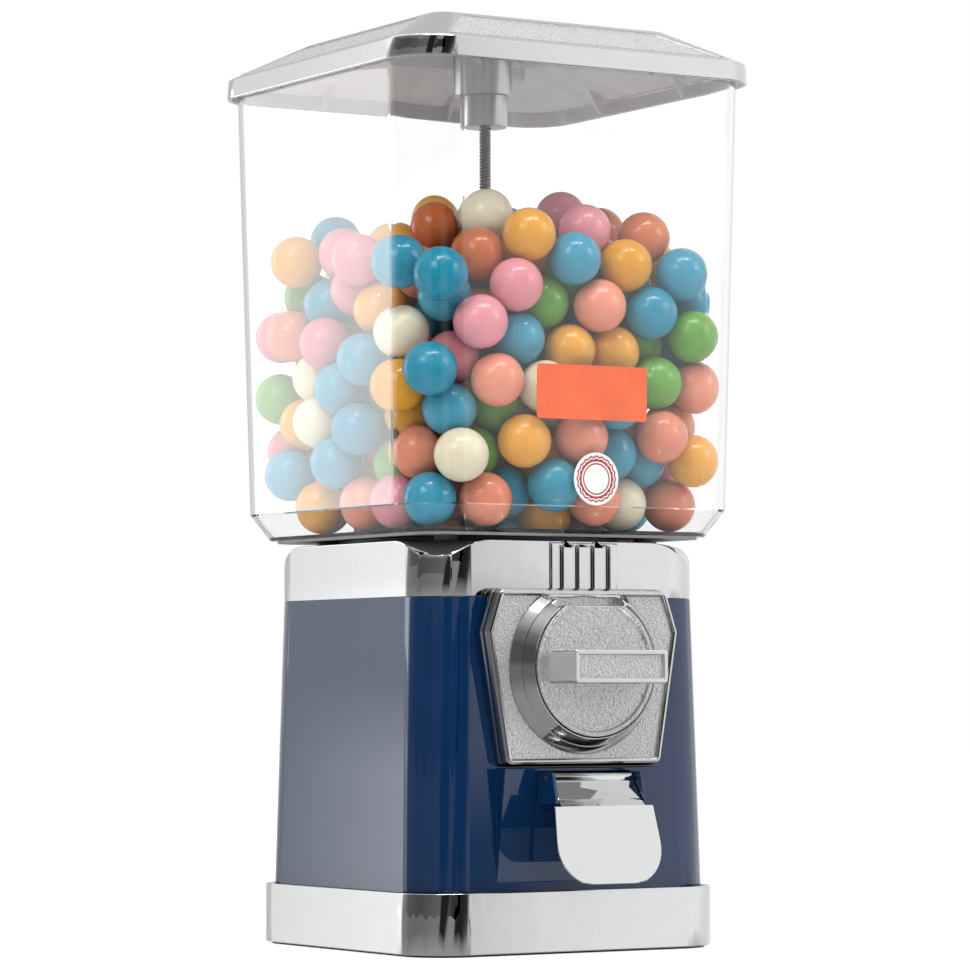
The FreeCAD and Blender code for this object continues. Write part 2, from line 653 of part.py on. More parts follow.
def dispenser_pan():
    body = new_body("dispenser_pan")
    bottom = f"({PAN_FLOOR} - pan_sheet)"
    trough_bottom = f"({TROUGH_TOP} - pan_sheet)"
    flange = "(shell_top + pan_sheet)"
    profile = outline(body, "profile", "front", (
        ("rod_radius + seat_gap", bottom),
        (f"{TROUGH_INNER} - pan_sheet", bottom),
        (f"{TROUGH_INNER} - pan_sheet", trough_bottom),
        (f"{TROUGH_OUTER} + pan_sheet * 0.75", trough_bottom),
        (f"{TROUGH_OUTER} + pan_sheet * 0.75", flange),
        (TROUGH_OUTER, flange),
        (TROUGH_OUTER, TROUGH_TOP),
        (TROUGH_INNER, TROUGH_TOP),
        (TROUGH_INNER, PAN_FLOOR),
        ("hub_radius", PAN_FLOOR),
        ("hub_radius", f"{PAN_FLOOR} + hub_rise"),
        ("rod_radius + seat_gap", f"{PAN_FLOOR} + hub_rise")))
    revolve(body, profile, "V_Axis")
    rim = rounded_square(body, "flange", "shell_half_top - collar_wall - seat_gap",
                         "shell_corner - collar_wall - seat_gap", "shell_top")
    draw_circle(rim, "0", "0", f"{TROUGH_OUTER} + pan_sheet / 4")
    pad(body, rim, "pan_sheet")
    pocket(body, circle(body, "outlet", "top", "0", "-pocket_circle", "outlet_radius", PAN_FLOOR), "pan_sheet")
    gap = f"({PINION_PITCH} + pinion_reach + crown_rim)"
    window = rectangle(f"-{gap}", f"-({TROUGH_OUTER} + pan_sheet)", gap, f"-{TROUGH_INNER}")
    pocket(body, outline(body, "pinion_window", "top", window, PITCH_PLANE), "trough_depth")


def gumball_wheel():
    body = new_body("gumball_wheel")
    root = f"({PITCH_PLANE} + crown_root)"
    bore = "(hub_radius + running_gap)"
    profile = outline(body, "profile", "front", (
        (bore, WHEEL_BOTTOM), (CROWN_INNER, WHEEL_BOTTOM), (CROWN_INNER, root),
        (CROWN_OUTER, root), (CROWN_OUTER, WHEEL_TOP), (bore, WHEEL_TOP)))
    revolve(body, profile, "V_Axis")
    hole = circle(body, "pocket", "top", "0", "-pocket_circle", "pocket_radius", WHEEL_TOP)
    around(body, [pocket(body, hole, "wheel_thick")], "pocket_count")
    # Straight-sided teeth, the first at the front, where the pinion turns a gap to it.
    half = "((pi * gear_module / 2 - gear_backlash / 2) / 2)"
    tip = f"({PITCH_PLANE} - crown_reach)"
    tooth = outline(body, "tooth", "front", (
        (f"-({half} - crown_reach * gear_slope)", tip),
        (f"{half} - crown_reach * gear_slope", tip),
        (f"{half} + (crown_root + bite) * gear_slope", f"{root} + bite"),
        (f"-({half} + (crown_root + bite) * gear_slope)", f"{root} + bite")),
        f"{CROWN_PITCH} - gear_face / 2")
    around(body, [pad(body, tooth, "gear_face")], "crown_teeth")


def wheel_gumballs(radius):
    balls = []
    circle_radius = value("pocket_circle")
    count = int(value("pocket_count"))
    level = value(PAN_FLOOR) + radius + value("ball_gap") / 2
    for step in range(1, count):
        angle = 2 * math.pi * step / count - math.pi / 2
        centre = Vector(circle_radius * math.cos(angle), circle_radius * math.sin(angle), level)
        balls.append(Part.makeSphere(radius, centre))
    made = doc.addObject("Part::Feature", "wheel_gumballs")
    made.Shape = Part.makeCompound(balls)
    node(made, "wheel_gumballs")


def hopper_ring():
    body = new_body("hopper_ring")
    top = f"({COLLAR_TOP} - collar_wall)"
    wide = "(mouth_radius + hopper_wall * 3.5)"
    low = f"({WHEEL_TOP} + guard_lift)"
    profile = outline(body, "profile", "front", (
        ("mouth_radius", low), ("mouth_radius + hopper_wall", low),
        ("mouth_radius + hopper_wall", f"{top} - hopper_wall"), (wide, f"{top} - hopper_wall"),
        (wide, top), ("mouth_radius", top)))
    revolve(body, profile, "V_Axis")


def ball_guard():
    plate = box("guard_plate", ("-guard_half", "-mouth_radius", GUARD_BOTTOM),
                ("guard_half", "guard_reach - mouth_radius", f"{GUARD_BOTTOM} + guard_thick"))
    limit = cylinder("guard_limit", "mouth_radius", "guard_thick", z=GUARD_BOTTOM)
    made = doc.addObject("Part::Common", "ball_guard")
    made.Base = plate
    made.Tool = limit
    node(made, "ball_guard")


# Globe, rod and lid

def globe():
    body = new_body("globe")
    wall = "globe_wall"
    loft(body, "AdditiveLoft", [
        rounded_square(body, "low", "globe_half_low", "globe_corner_low", GLOBE_BOTTOM),
        rounded_square(body, "fold", "globe_half_fold", "globe_corner", GLOBE_FOLD),
        rounded_square(body, "top", "globe_half_top", "globe_corner", GLOBE_TOP)])
    loft(body, "SubtractiveLoft", [
        rounded_square(body, "low_inside", f"globe_half_low - {wall} * 0.4", f"globe_corner_low - {wall} * 0.4",
                       GLOBE_FLOOR),
        rounded_square(body, "fold_inside", f"globe_half_fold - {wall}", f"globe_corner - {wall}", GLOBE_FOLD),
        rounded_square(body, "top_inside", f"globe_half_top - {wall}", f"globe_corner - {wall}", GLOBE_TOP)])
    pocket(body, circle(body, "mouth", "top", "0", "0", "mouth_radius", GLOBE_FLOOR), "globe_wall * 2")


def globe_gasket():
    body = new_body("globe_gasket")
    low = f"({GLOBE_BOTTOM} - gasket_thick)"
    half = "globe_half_low - gasket_inset"
    pad(body, rounded_square(body, "plate", half, "globe_corner_low - gasket_inset", low), "gasket_thick")
    pad(body, circle(body, "neck", "top", "0", "0", "mouth_radius + neck_wall", COLLAR_TOP),
        "globe_gap - gasket_thick / 2")
    pocket(body, circle(body, "mouth", "top", "0", "0", "mouth_radius", GLOBE_BOTTOM), "globe_gap")


def globe_pads():
    pads = []
    for number, (sign_x, sign_y) in enumerate(SIGNS):
        pads.append(cylinder(f"globe_pad_{number}", "pad_radius", "globe_gap - gasket_thick",
                             f"{sign_x} * pad_place", f"{sign_y} * pad_place", COLLAR_TOP))
    group("globe_pads", pads)


def center_rod():
    node(cylinder("center_rod", "rod_radius", f"{ROD_TOP} - sole_thick", z="sole_thick"), "center_rod")


def rod_nuts():
    nuts = []
    for number, low in enumerate((TRAY_TOP, f"{PAN_FLOOR} + hub_rise")):
        outer = hexagon(f"rod_hex_{number}", "rod_nut_flat", "rod_nut_thick", z=low)
        bore = cylinder(f"rod_bore_{number}", "rod_radius", "rod_nut_thick", z=low)
        nuts.append(cut(f"rod_nut_{number}", outer, bore))
    group("rod_nuts", nuts)


def lid():
    body = new_body("lid")
    ceiling = f"({LID_TOP} - lid_wall)"
    seat_half = "(globe_half_top - globe_wall * 1.2)"
    loft(body, "AdditiveLoft", [
        rounded_square(body, "rim_low", LID_HALF, "lid_corner", LID_BOTTOM),
        rounded_square(body, "rim_top", f"{LID_HALF} - rim_draft", "lid_corner", RIM_TOP),
        rounded_square(body, "roof", ROOF_HALF, "roof_corner", LID_TOP)])
    pocket(body, rounded_square(body, "well", f"{LID_HALF} - lid_wall", "lid_corner - lid_wall", LID_BOTTOM),
           "lid_overlap", reverse=True)
    loft(body, "SubtractiveLoft", [
        rounded_square(body, "seat", seat_half, "globe_corner - globe_wall", LID_SEAT),
        rounded_square(body, "ceiling", f"{ROOF_HALF} - lid_wall", "roof_corner - lid_wall", ceiling)])
    pad(body, circle(body, "boss", "top", "0", "0", "boss_radius", f"{LID_TOP} - boss_drop"),
        "boss_drop - lid_wall / 2")
    rib_low = f"({ceiling} - lid_wall * 3)"
    rib_top = f"({ceiling} + lid_wall / 2)"
    rib = outline(body, "hip_rib", "front", (
        ("boss_radius * 0.9", f"{LID_TOP} - boss_drop * 0.5"), (f"{ROOF_HALF} * 1.25", rib_low),
        (f"{ROOF_HALF} * 1.25", rib_top), ("boss_radius * 0.9", rib_top)), turn=(Vector(0, 1, 0), 45))
    around(body, [pad(body, rib, "rib_width", symmetric=True)], "4")
    # Fins inside the rim that keep the lid square on the globe.
    fin_out = f"({seat_half} - seat_gap * 4)"
    fin_corners = ((f"-{fin_out}", f"{LID_SEAT} - fin_drop"), (f"-{fin_out}", f"{LID_SEAT} + lid_wall"),
                   (f"-({fin_out} - fin_drop * 1.3)", f"{LID_SEAT} + fin_drop"))
    fins = []
    for side, sign in (("left", -1), ("right", 1)):
        plan = outline(body, f"fin_{side}", "side", fin_corners, lift=f"{sign} * fin_place")
        fins.append(pad(body, plan, "rib_width", symmetric=True))
    around(body, fins, "4")
    pocket(body, circle(body, "barrel_bore", "top", "0", "0", "barrel_radius", LID_TOP), "boss_drop + lid_wall")
    # One sunk panel on each slope of the roof, drawn on the slope from its middle.
    run = "(roof_run - rim_draft)"
    slope = f"sqrt({run} * {run} + roof_rise * roof_rise)"
    tilt = math.degrees(math.atan2(value(run), value("roof_rise")))
    tall = f"({slope} / 2 - panel_margin)"
    panel = new_sketch(body, "panel", "front", f"({LID_HALF} - rim_draft + {ROOF_HALF}) / 2", (RIGHT, -tilt))
    bind(panel, AttachmentOffset__Base__y=f"{RIM_TOP} + roof_rise / 2")
    draw_outline(panel, (
        (f"-({LID_HALF} - panel_hip)", f"-{tall}"), (f"{LID_HALF} - panel_hip", f"-{tall}"),
        (f"{ROOF_HALF} - panel_hip / 2", tall), (f"-({ROOF_HALF} - panel_hip / 2)", tall)))
    around(body, [pocket(body, panel, "panel_depth")], "4")


def lock_barrel():
    body = new_body("lock_barrel")
    low = f"({LID_TOP} - barrel_drop)"
    shelf = f"({LID_TOP} - plug_length)"
    profile = outline(body, "profile", "front", (
        ("rod_radius + seat_gap", low), ("barrel_radius", low), ("barrel_radius", LID_TOP),
        ("plug_radius + running_gap", LID_TOP), ("plug_radius + running_gap", shelf),
        ("rod_radius + seat_gap", shelf)))
    revolve(body, profile, "V_Axis")


def lock_plug():
    body = new_body("lock_plug")
    low = f"({LID_TOP} - plug_length + seat_gap)"
    pad(body, circle(body, "round", "top", "0", "0", "plug_radius", low), "plug_length - seat_gap * 2")
    key = rectangle("-plug_radius * 0.55", "-plug_radius * 0.11", "plug_radius * 0.55", "plug_radius * 0.11")
    pocket(body, outline(body, "keyway", "top", key, LID_TOP), "plug_radius")


# Coin mechanism, drawn about the knob axis

def plate_outline(inset):
    """Faceplate outline about the knob axis, drawn in by an inset."""
    return ((f"-(plate_half_low - {inset})", f"-(plate_below - {inset})"),
            (f"plate_half_low - {inset}", f"-(plate_below - {inset})"),
            (f"plate_half_point - {inset}", "plate_point"),
            (f"plate_half_top - {inset}", f"plate_above - {inset}"),
            (f"-(plate_half_top - {inset})", f"plate_above - {inset}"),
            (f"-(plate_half_point - {inset})", "plate_point"))


def coin_faceplate():
    body = new_body("coin_faceplate", "knob_height")
    pad(body, outline(body, "outer", "front", plate_outline("0"), PLATE_BACK), "plate_thick")
    fillet(body, "plate_corner", lambda edge: runs_along(edge, FRONT))
    pocket(body, outline(body, "field", "front", plate_outline("bead_width"), f"{PLATE_BACK} + plate_thick"),
           "bead_height")
    bore = "(knob_radius + knob_fit)"
    cone = outline(body, "ring", "side", (
        (f"-({PLATE_FIELD} - bead_height)", bore), (f"-({PLATE_FIELD} + ring_height)", bore),
        (f"-({PLATE_FIELD} + ring_height)", "ring_front"), (f"-({PLATE_FIELD} - bead_height)", "ring_base")))
    revolve(body, cone, "H_Axis")
    gap = rectangle("-slot_half", "knob_flat - bead_width", "slot_half", "plate_above - bead_width * 1.4")
    pocket(body, outline(body, "coin_gap", "front", gap, f"{PLATE_FIELD} + ring_height * 2"), "ring_height * 2")
    ahead = rectangle("-ring_base", "plate_above - bead_width * 1.5", "ring_base", "ring_base + bite")
    pocket(body, outline(body, "ring_ahead", "front", ahead, f"{PLATE_FIELD} + ring_height * 2"),
           "ring_height * 2 - bead_height")
    above = rectangle("-ring_base", "plate_above", "ring_base", "ring_base + bite")
    pocket(body, outline(body, "ring_above", "front", above, f"{PLATE_FIELD} + ring_height * 2"),
           "ring_height * 2 + plate_thick")
    pocket(body, circle(body, "shaft_bore", "front", "0", "0", "shaft_radius + running_gap", PLATE_FIELD),
           "plate_thick")
    drop = rectangle("-coin_radius", "-(knob_flat + bead_width)", "coin_radius", "-(knob_flat - coin_radius)")
    pocket(body, outline(body, "coin_drop", "front", drop, PLATE_FIELD), "plate_thick")


def coin_knob():
    body = new_body("coin_knob", "knob_height")
    pad(body, circle(body, "disc", "front", "0", "0", "knob_radius", KNOB_BACK), "knob_thick")
    shallow = circle(body, "dish", "front", "0", "0", "knob_radius - bead_width", KNOB_FACE)
    pocket(body, shallow, "bead_height")
    half = "bar_width / 2"
    bar = outline(body, "bar", "front", rectangle("-bar_half", f"-{half}", "bar_half", half),
                  f"{KNOB_FACE} - bead_height * 2")
    pad(body, bar, "bar_height + bead_height * 2")
    fillet(body, "bar_corner", lambda edge: runs_along(edge, FRONT))
    inset = rectangle("-(bar_half - bead_width)", f"-({half} - bead_width)", "bar_half - bead_width",
                      f"{half} - bead_width")
    pocket(body, outline(body, "bar_inset", "front", inset, f"{KNOB_FACE} + bar_height"), "bead_height")
    flat = rectangle("-knob_radius", "knob_flat", "knob_radius", "knob_radius * 1.1")
    pocket(body, outline(body, "coin_flat", "front", flat, KNOB_FACE), "knob_thick")
    pocket(body, circle(body, "shaft_socket", "front", "0", "0", "shaft_radius", KNOB_BACK),
           "knob_thick / 2", reverse=True)


def coin_carrier():
    body = new_body("coin_carrier", "knob_height")
    pad(body, circle(body, "disc", "front", "0", "0", "knob_radius", CARRIER_BACK), "carrier_thick")
    flat = rectangle("-knob_radius", "knob_flat", "knob_radius", "knob_radius * 1.1")
    pocket(body, outline(body, "coin_flat", "front", flat, KNOB_BACK), "carrier_thick")
    notch = circle(body, "coin_notch", "front", "0", "knob_flat - coin_radius / 2", "coin_radius", KNOB_BACK)
    pocket(body, notch, "carrier_thick")
    pocket(body, circle(body, "bore", "front", "0", "0", "shaft_radius", KNOB_BACK), "carrier_thick")


def knob_shaft():
    front = f"({KNOB_BACK} + knob_thick / 2)"
    back = f"({CROWN_PITCH} - gear_face)"
    node(cylinder("knob_shaft", "shaft_radius", f"{front} - {back}", y=f"-{back}", z="knob_height", axis=FRONT),
         "knob_shaft")


def ratchet_wheel():
    body = new_body("ratchet_wheel", "knob_height")
    front = f"({MECH_FRONT} + ratchet_back + ratchet_thick)"
    pad(body, circle(body, "disc", "front", "0", "0", "ratchet_radius", front), "ratchet_thick", reverse=True)
    step = 2 * math.pi / value("ratchet_teeth")
    low = "(ratchet_radius - ratchet_depth)"
    notch = outline(body, "notch", "front", (
        ("0", low), ("0", "ratchet_radius * 1.05"),
        (f"ratchet_radius * {math.sin(step) * 1.05}", f"ratchet_radius * {math.cos(step) * 1.05}"),
        (f"ratchet_radius * {math.sin(step) * 0.995}", f"ratchet_radius * {math.cos(step) * 0.995}")), front)
    around(body, [pocket(body, notch, "ratchet_thick")], "ratchet_teeth", "Y_Axis")
    pocket(body, circle(body, "bore", "front", "0", "0", "shaft_radius", front), "ratchet_thick")


def pawl():
    body = new_body("pawl", "knob_height")
    front = f"({MECH_FRONT} + ratchet_back + ratchet_thick)"
    toe = "(ratchet_radius + seat_gap * 2)"
    eye = circle(body, "eye", "front", "pawl_side", "pawl_rise", "pawl_eye", front)
    pad(body, eye, "ratchet_thick", reverse=True)
    arm = outline(body, "arm", "front", (
        ("pawl_side", "pawl_rise - pawl_eye * 0.6"), ("pawl_side", "pawl_rise + pawl_eye * 0.8"),
        ("pawl_side * 0.25", f"{toe} + pawl_eye"), ("pawl_side * 0.22", toe)), front)
    pad(body, arm, "ratchet_thick", reverse=True)
    bore = circle(body, "bore", "front", "pawl_side", "pawl_rise", "pawl_pin_radius + running_gap", front)
    pocket(body, bore, "ratchet_thick")


def pawl_pin():
    node(cylinder("pawl_pin", "pawl_pin_radius", "mech_depth", "pawl_side", f"-{MECH_FRONT}",
                  "knob_height + pawl_rise", FRONT), "pawl_pin")


def drive_pinion():
    body = new_body("drive_pinion", "knob_height")
    front = f"({CROWN_PITCH} + gear_face / 2)"
    pitch = value(PINION_PITCH)
    hub = circle(body, "hub", "front", "0", "0", f"{PINION_PITCH} - pinion_root", front)
    pad(body, hub, "gear_face", reverse=True)
    # Involute flanks, thinned by the backlash, from inside the root to the tip.
    pressure = math.atan(value("gear_slope"))
    base = pitch * math.cos(pressure)
    involute = math.tan(pressure) - pressure
    thick = (math.pi * value("gear_module") / 2 - value("gear_backlash") / 2) / pitch
    flank = [(pitch - value("pinion_root") * 1.2, thick / 2 + involute)]
    for step in range(5):
        radius = base + (pitch + value("pinion_reach") - base) * step / 4
        angle = math.acos(base / radius)
        flank.append((radius, thick / 2 + involute - (math.tan(angle) - angle)))
    half_pitch = math.pi / value("pinion_teeth")
    sides = flank + [(radius, -angle) for radius, angle in reversed(flank)]
    corners = [(radius * math.sin(half_pitch + angle), radius * math.cos(half_pitch + angle))
               for radius, angle in sides]
    tooth = outline(body, "tooth", "front", corners, front)
    around(body, [pad(body, tooth, "gear_face", reverse=True)], "pinion_teeth", "Y_Axis")
    pocket(body, circle(body, "bore", "front", "0", "0", "shaft_radius", front), "gear_face")


def shaft_clip():
    outer = cylinder("clip_disc", "shaft_radius * 1.6", "mech_plate / 2", y=f"-{MECH_BACK} + seat_gap",
                     z="knob_height", axis=Vector(0, 1, 0))
    bore = cylinder("clip_bore", "shaft_radius", "mech_plate / 2", y=f"-{MECH_BACK} + seat_gap",
                    z="knob_height", axis=Vector(0, 1, 0))
    node(cut("shaft_clip", outer, bore), "shaft_clip")


def mech_back_plate():
    body = new_body("mech_back_plate", "knob_height")
    tall = "(mech_tall - post_radius)"
    face = rectangle("-mech_half", f"-{tall}", "mech_half", tall)
    pad(body, outline(body, "plate", "front", face, MECH_BACK), "mech_plate")
    fillet(body, "post_radius", lambda edge: runs_along(edge, FRONT))
    holes = circle(body, "holes", "front", "0", "0", "shaft_radius + running_gap", MECH_FRONT)
    for sign_x, sign_y in SIGNS:
        draw_circle(holes, f"{sign_x} * post_side", f"{sign_y} * post_rise", "stud_radius")
    pocket(body, holes, "mech_plate")


def mech_posts():
    posts = []
    nuts = []
    back = Vector(0, 1, 0)
    for number, (sign_x, sign_y) in enumerate(SIGNS):
        across = f"{sign_x} * post_side"
        level = f"knob_height + {sign_y} * post_rise"
        foot = (across, f"-{PLATE_BACK}", level, back)
        post = cylinder(f"post_{number}", "post_radius", "mech_depth", *foot)
        stud = cylinder(f"stud_{number}", "stud_radius", "mech_depth + mech_plate + nut_thick * 1.2", *foot)
        posts.append(fuse(f"mech_post_{number}", [post, stud]))
        seat = (across, f"-{MECH_BACK}", level, back)
        outer = hexagon(f"stud_hex_{number}", "nut_flat", "nut_thick", *seat)
        bore = cylinder(f"stud_bore_{number}", "stud_radius", "nut_thick", *seat)
        nuts.append(cut(f"mech_nut_{number}", outer, bore))
    group("mech_posts", posts)
    group("mech_nuts", nuts)


# Chute and door

def spout():
    body = new_body("spout")
    top = f"({PANEL_TOP} - shell_wall - seat_gap)"
    inner_low = "(spout_low + spout_rise)"
    share = "(spout_low - base_height) / (lug_low - base_height)"
    lip = f"({front_at('spout_low')} + panel_proud * {share} * 0.7)"
    behind_lug = f"({front_at('lug_low')} + panel_proud * 0.9)"
    cheeks = outline(body, "cheeks", "side", (
        ("-spout_back", top), (f"-({lean_at(top)} - seat_gap)", top),
        (f"-({lean_at('lug_low')} - seat_gap)", "lug_low"), (f"-{behind_lug}", "lug_low - seat_gap"),
        (f"-{lip}", "spout_low"), ("-spout_back", inner_low)))
    pad(body, cheeks, "2 * spout_half", symmetric=True)
    inside = outline(body, "inside", "side", (
        ("-(spout_back - bite)", f"{top} + bite"), (f"-({lean_at(top)} + bite)", f"{top} + bite"),
        (f"-({lean_at('lug_low')} + bite)", "lug_low - bite"),
        (f"-({lip} + bite)", f"spout_low + spout_wall * 1.4 - bite * spout_rise / ({lip} - spout_back)"),
        ("-(spout_back - bite)", f"{inner_low} + spout_wall * 1.4 + bite * spout_rise / ({lip} - spout_back)")))
    pocket(body, inside, "2 * (spout_half - spout_wall)", symmetric=True)
    pocket(body, circle(body, "pin_hole", "side", "-hinge_reach", "hinge_height", "hinge_pin"),
           "2 * spout_half", symmetric=True)


def hinge_pin():
    length = "(2 * spout_half + hinge_pin)"
    node(cylinder("hinge_pin", "hinge_pin", length, f"-{length} / 2", "-hinge_reach", "hinge_height", RIGHT),
         "hinge_pin")


def chute_door():
    body = new_body("chute_door")
    inner_half = "(spout_half - spout_wall - seat_gap * 2)"
    round_from = "(door_bottom + door_corner + door_sheet)"
    near = f"({lean_at('door_top')} - door_sheet * 2)"
    far = f"({lean_at('door_bottom')} + door_sheet * 3)"
    tongue = outline(body, "tongue", "front", (
        ("-door_half_low", "door_bottom"), ("door_half_low", "door_bottom"), ("door_half_low", round_from),
        ("door_half_top", "door_top"), ("-door_half_top", "door_top"), ("-door_half_low", round_from)), near)
    pad(body, tongue, f"{far} - {near}")
    fillet(body, "door_corner", lambda edge: runs_along(edge, FRONT)
           and edge.CenterOfMass.z < value("door_bottom + bite"))
    # What is left between two leaning cuts is the sheet.
    above = "(door_top + door_sheet)"
    below = "(door_bottom - door_sheet)"
    behind = ("behind", f"{near} - door_sheet", "0")
    ahead = ("ahead", f"{far} + door_sheet", "door_sheet")
    for name, limit, proud in (behind, ahead):
        waste = outline(body, name, "side", (
            (f"-({lean_at(above)} + {proud})", above), (f"-({lean_at(below)} + {proud})", below),
            (f"-({limit})", below), (f"-({limit})", above)))
        pocket(body, waste, "3 * door_half_low", symmetric=True)
    step_out = f"({lean_at('door_top')} - leaf_in)"
    step_up = "(door_top + leaf_up)"
    leaf = outline(body, "leaf", "side", (
        (f"-({lean_at('door_top')} + door_sheet)", "door_top"),
        (f"-({step_out} + door_sheet)", step_up),
        ("-(hinge_reach + door_sheet)", "hinge_height"),
        ("-hinge_reach", "hinge_height"),
        (f"-{step_out}", f"{step_up} - door_sheet"),
        (f"-{lean_at('door_top')}", "door_top - door_sheet")))
    pad(body, leaf, f"2 * {inner_half}", symmetric=True)
    pad(body, circle(body, "eye", "side", "-hinge_reach", "hinge_height", "hinge_eye"),
        f"2 * {inner_half}", symmetric=True)
    pocket(body, circle(body, "bore", "side", "-hinge_reach", "hinge_height", "hinge_pin + running_gap"),
           f"2 * {inner_half}", symmetric=True)


def chute():
    body = new_body("chute")
    top = f"({TROUGH_TOP} - pan_sheet)"
    mouth = "(spout_back + seat_gap)"
    mouth_low = "(spout_low + spout_rise + spout_wall)"
    mouth_top = f"({PANEL_TOP} - shell_wall * 3)"

    def section(inset, reach):
        """Side view of the chute, drawn in by an inset and run out at its ends."""
        return ((f"-chute_front + {inset}", f"{top} + {reach}"),
                (f"-chute_back - {inset}", f"{top} + {reach}"),
                (f"-chute_back - {inset}", f"chute_floor + {inset}"),
                (f"-{mouth} + 2 * chute_wall - {reach}", f"{mouth_low} + {inset} * 1.1"),
                (f"-{mouth} + 2 * chute_wall - {reach}", f"{mouth_top} - {inset}"),
                (f"-chute_front + {inset}", f"chute_bend - {inset}"))

    pad(body, outline(body, "outer", "side", section("0", "0")), "2 * chute_half", symmetric=True)
    pocket(body, outline(body, "inside", "side", section("chute_wall", "chute_wall")),
           "2 * (chute_half - chute_wall)", symmetric=True)


# Gumballs

class Heap:
    """Gumballs dropped one by one into the globe, each rolling to a resting place."""

    def __init__(self):
        self.radius = value("ball_radius")
        self.reach = self.radius + value("ball_gap")
        self.pitch = 2 * self.radius + value("ball_gap")
        self.slack = value("ball_gap") * 0.4
        self.hopper = value(f"{GUARD_BOTTOM} + guard_thick")
        self.floor = value(GLOBE_FLOOR)
        self.fold = value(GLOBE_FOLD)
        self.top = value(GLOBE_TOP)
        self.mouth = value("mouth_radius")
        self.rod = value("rod_radius")
        self.hub = value("hub_radius")
        self.hub_top = value(f"{PAN_FLOOR} + hub_rise + rod_nut_thick")
        self.half_low = value("globe_half_low - globe_wall * 0.4")
        self.half_fold = value("globe_half_fold - globe_wall")
        self.half_top = value("globe_half_top - globe_wall")
        self.corner = value("globe_corner - globe_wall")
        self.crest = value(f"{GLOBE_TOP} - heap_below")
        self.fall = value("heap_fall")
        self.placed = []
        self.cells = {}

    def cell(self, point):
        """Grid cell that a point lies in."""
        return tuple(int(math.floor(along / self.pitch)) for along in point)

    def near(self, point):
        """Placed gumballs in the cells about a point."""
        home = self.cell(point)
        steps = (-1, 0, 1)
        return [ball for dx in steps for dy in steps for dz in steps
                for ball in self.cells.get((home[0] + dx, home[1] + dy, home[2] + dz), ())]

    def half_at(self, level):
        """Inner half-width of the globe at a height."""
        if level < self.fold:
            share = max(0.0, (level - self.floor) / (self.fold - self.floor))
            return self.half_low + (self.half_fold - self.half_low) * share
        share = (level - self.fold) / (self.top - self.fold)
        return self.half_fold + (self.half_top - self.half_fold) * share

    def keep_inside(self, x, y, z):
        """Nearest place clear of the globe, the hopper and the rod."""
        half = self.half_at(z - self.reach * 0.7) if z < self.fold + self.reach else self.half_at(z)
        limit = half - self.reach - self.slack
        if z < self.fold + self.reach:
            limit = min(limit, self.half_at(z - self.reach * 0.4) - self.reach * 0.95)
        x = max(-limit, min(limit, x))
        y = max(-limit, min(limit, y))
        bend = limit - (self.corner - self.reach)
        over_x = abs(x) - bend
        over_y = abs(y) - bend
        if over_x > 0 and over_y > 0:
            far = math.hypot(over_x, over_y)
            most = self.corner - self.reach
            if far > most:
                x = math.copysign(bend + over_x * most / far, x)
                y = math.copysign(bend + over_y * most / far, y)
        radius = math.hypot(x, y)
        post = (self.hub if z < self.hub_top + self.radius else self.rod) + self.reach
        if radius < post:
            scale = post / max(radius, 1e-6)
            x *= scale
            y *= scale
            radius = post
        inner = self.mouth - self.reach
        if radius <= inner:
            return x, y, max(z, self.hopper + self.reach)
        if radius < self.mouth:
            edge = math.sqrt(self.reach ** 2 - (self.mouth - radius) ** 2)
            if z >= self.floor:
                return x, y, max(z, self.floor + edge)
            return x * inner / radius, y * inner / radius, max(z, self.hopper + self.reach)
        return x, y, max(z, self.floor + self.reach)

    def push_out(self, x, y, z):
        """Move a gumball off its neighbours."""
        for other in self.near((x, y, z)):
            dx = x - other[0]
            dy = y - other[1]
            dz = z - other[2]
            far = math.sqrt(dx * dx + dy * dy + dz * dz)
            if far < self.pitch:
                push = (self.pitch - far) / max(far, 1e-6)
                x += dx * push
                y += dy * push
                z += dz * push
        return x, y, z

    def overlap(self, x, y, z):
        """Deepest overlap with a placed gumball or a wall."""
        deepest = 0.0
        for other in self.near((x, y, z)):
            deepest = max(deepest, self.pitch - math.dist((x, y, z), other))
        return max(deepest, math.dist((x, y, z), self.keep_inside(x, y, z)))

    def settle(self, x, y, chance):
        """Resting place of a gumball let go above a point."""
        lowest = (x, y, self.top - self.reach)
        drop = self.radius / 8
        stalled = 0
        while stalled < 40:
            shake = self.radius / 12 if stalled else 0.0
            spot = (lowest[0] + chance.uniform(-shake, shake), lowest[1] + chance.uniform(-shake, shake),
                    lowest[2] - drop)
            for _ in range(8):
                spot = self.keep_inside(*self.push_out(*spot))
            if spot[2] < lowest[2] - drop / 40 and self.overlap(*spot) < self.slack:
                lowest = spot
                stalled = 0
            else:
                stalled += 1
        return lowest

    def fill(self, seed):
        """Drop gumballs until the heap has its height everywhere."""
        chance = random.Random(seed)
        refused = 0
        while refused < 60:
            span = self.half_fold - self.reach
            x, y, z = self.settle(chance.uniform(-span, span), chance.uniform(-span, span), chance)
            lower = self.fall * (math.hypot(x, y) / self.half_fold) ** 2
            if z + self.radius > self.crest - lower:
                refused += 1
                continue
            refused = 0
            self.placed.append((x, y, z))
            self.cells.setdefault(self.cell((x, y, z)), []).append((x, y, z))
        return self.placed


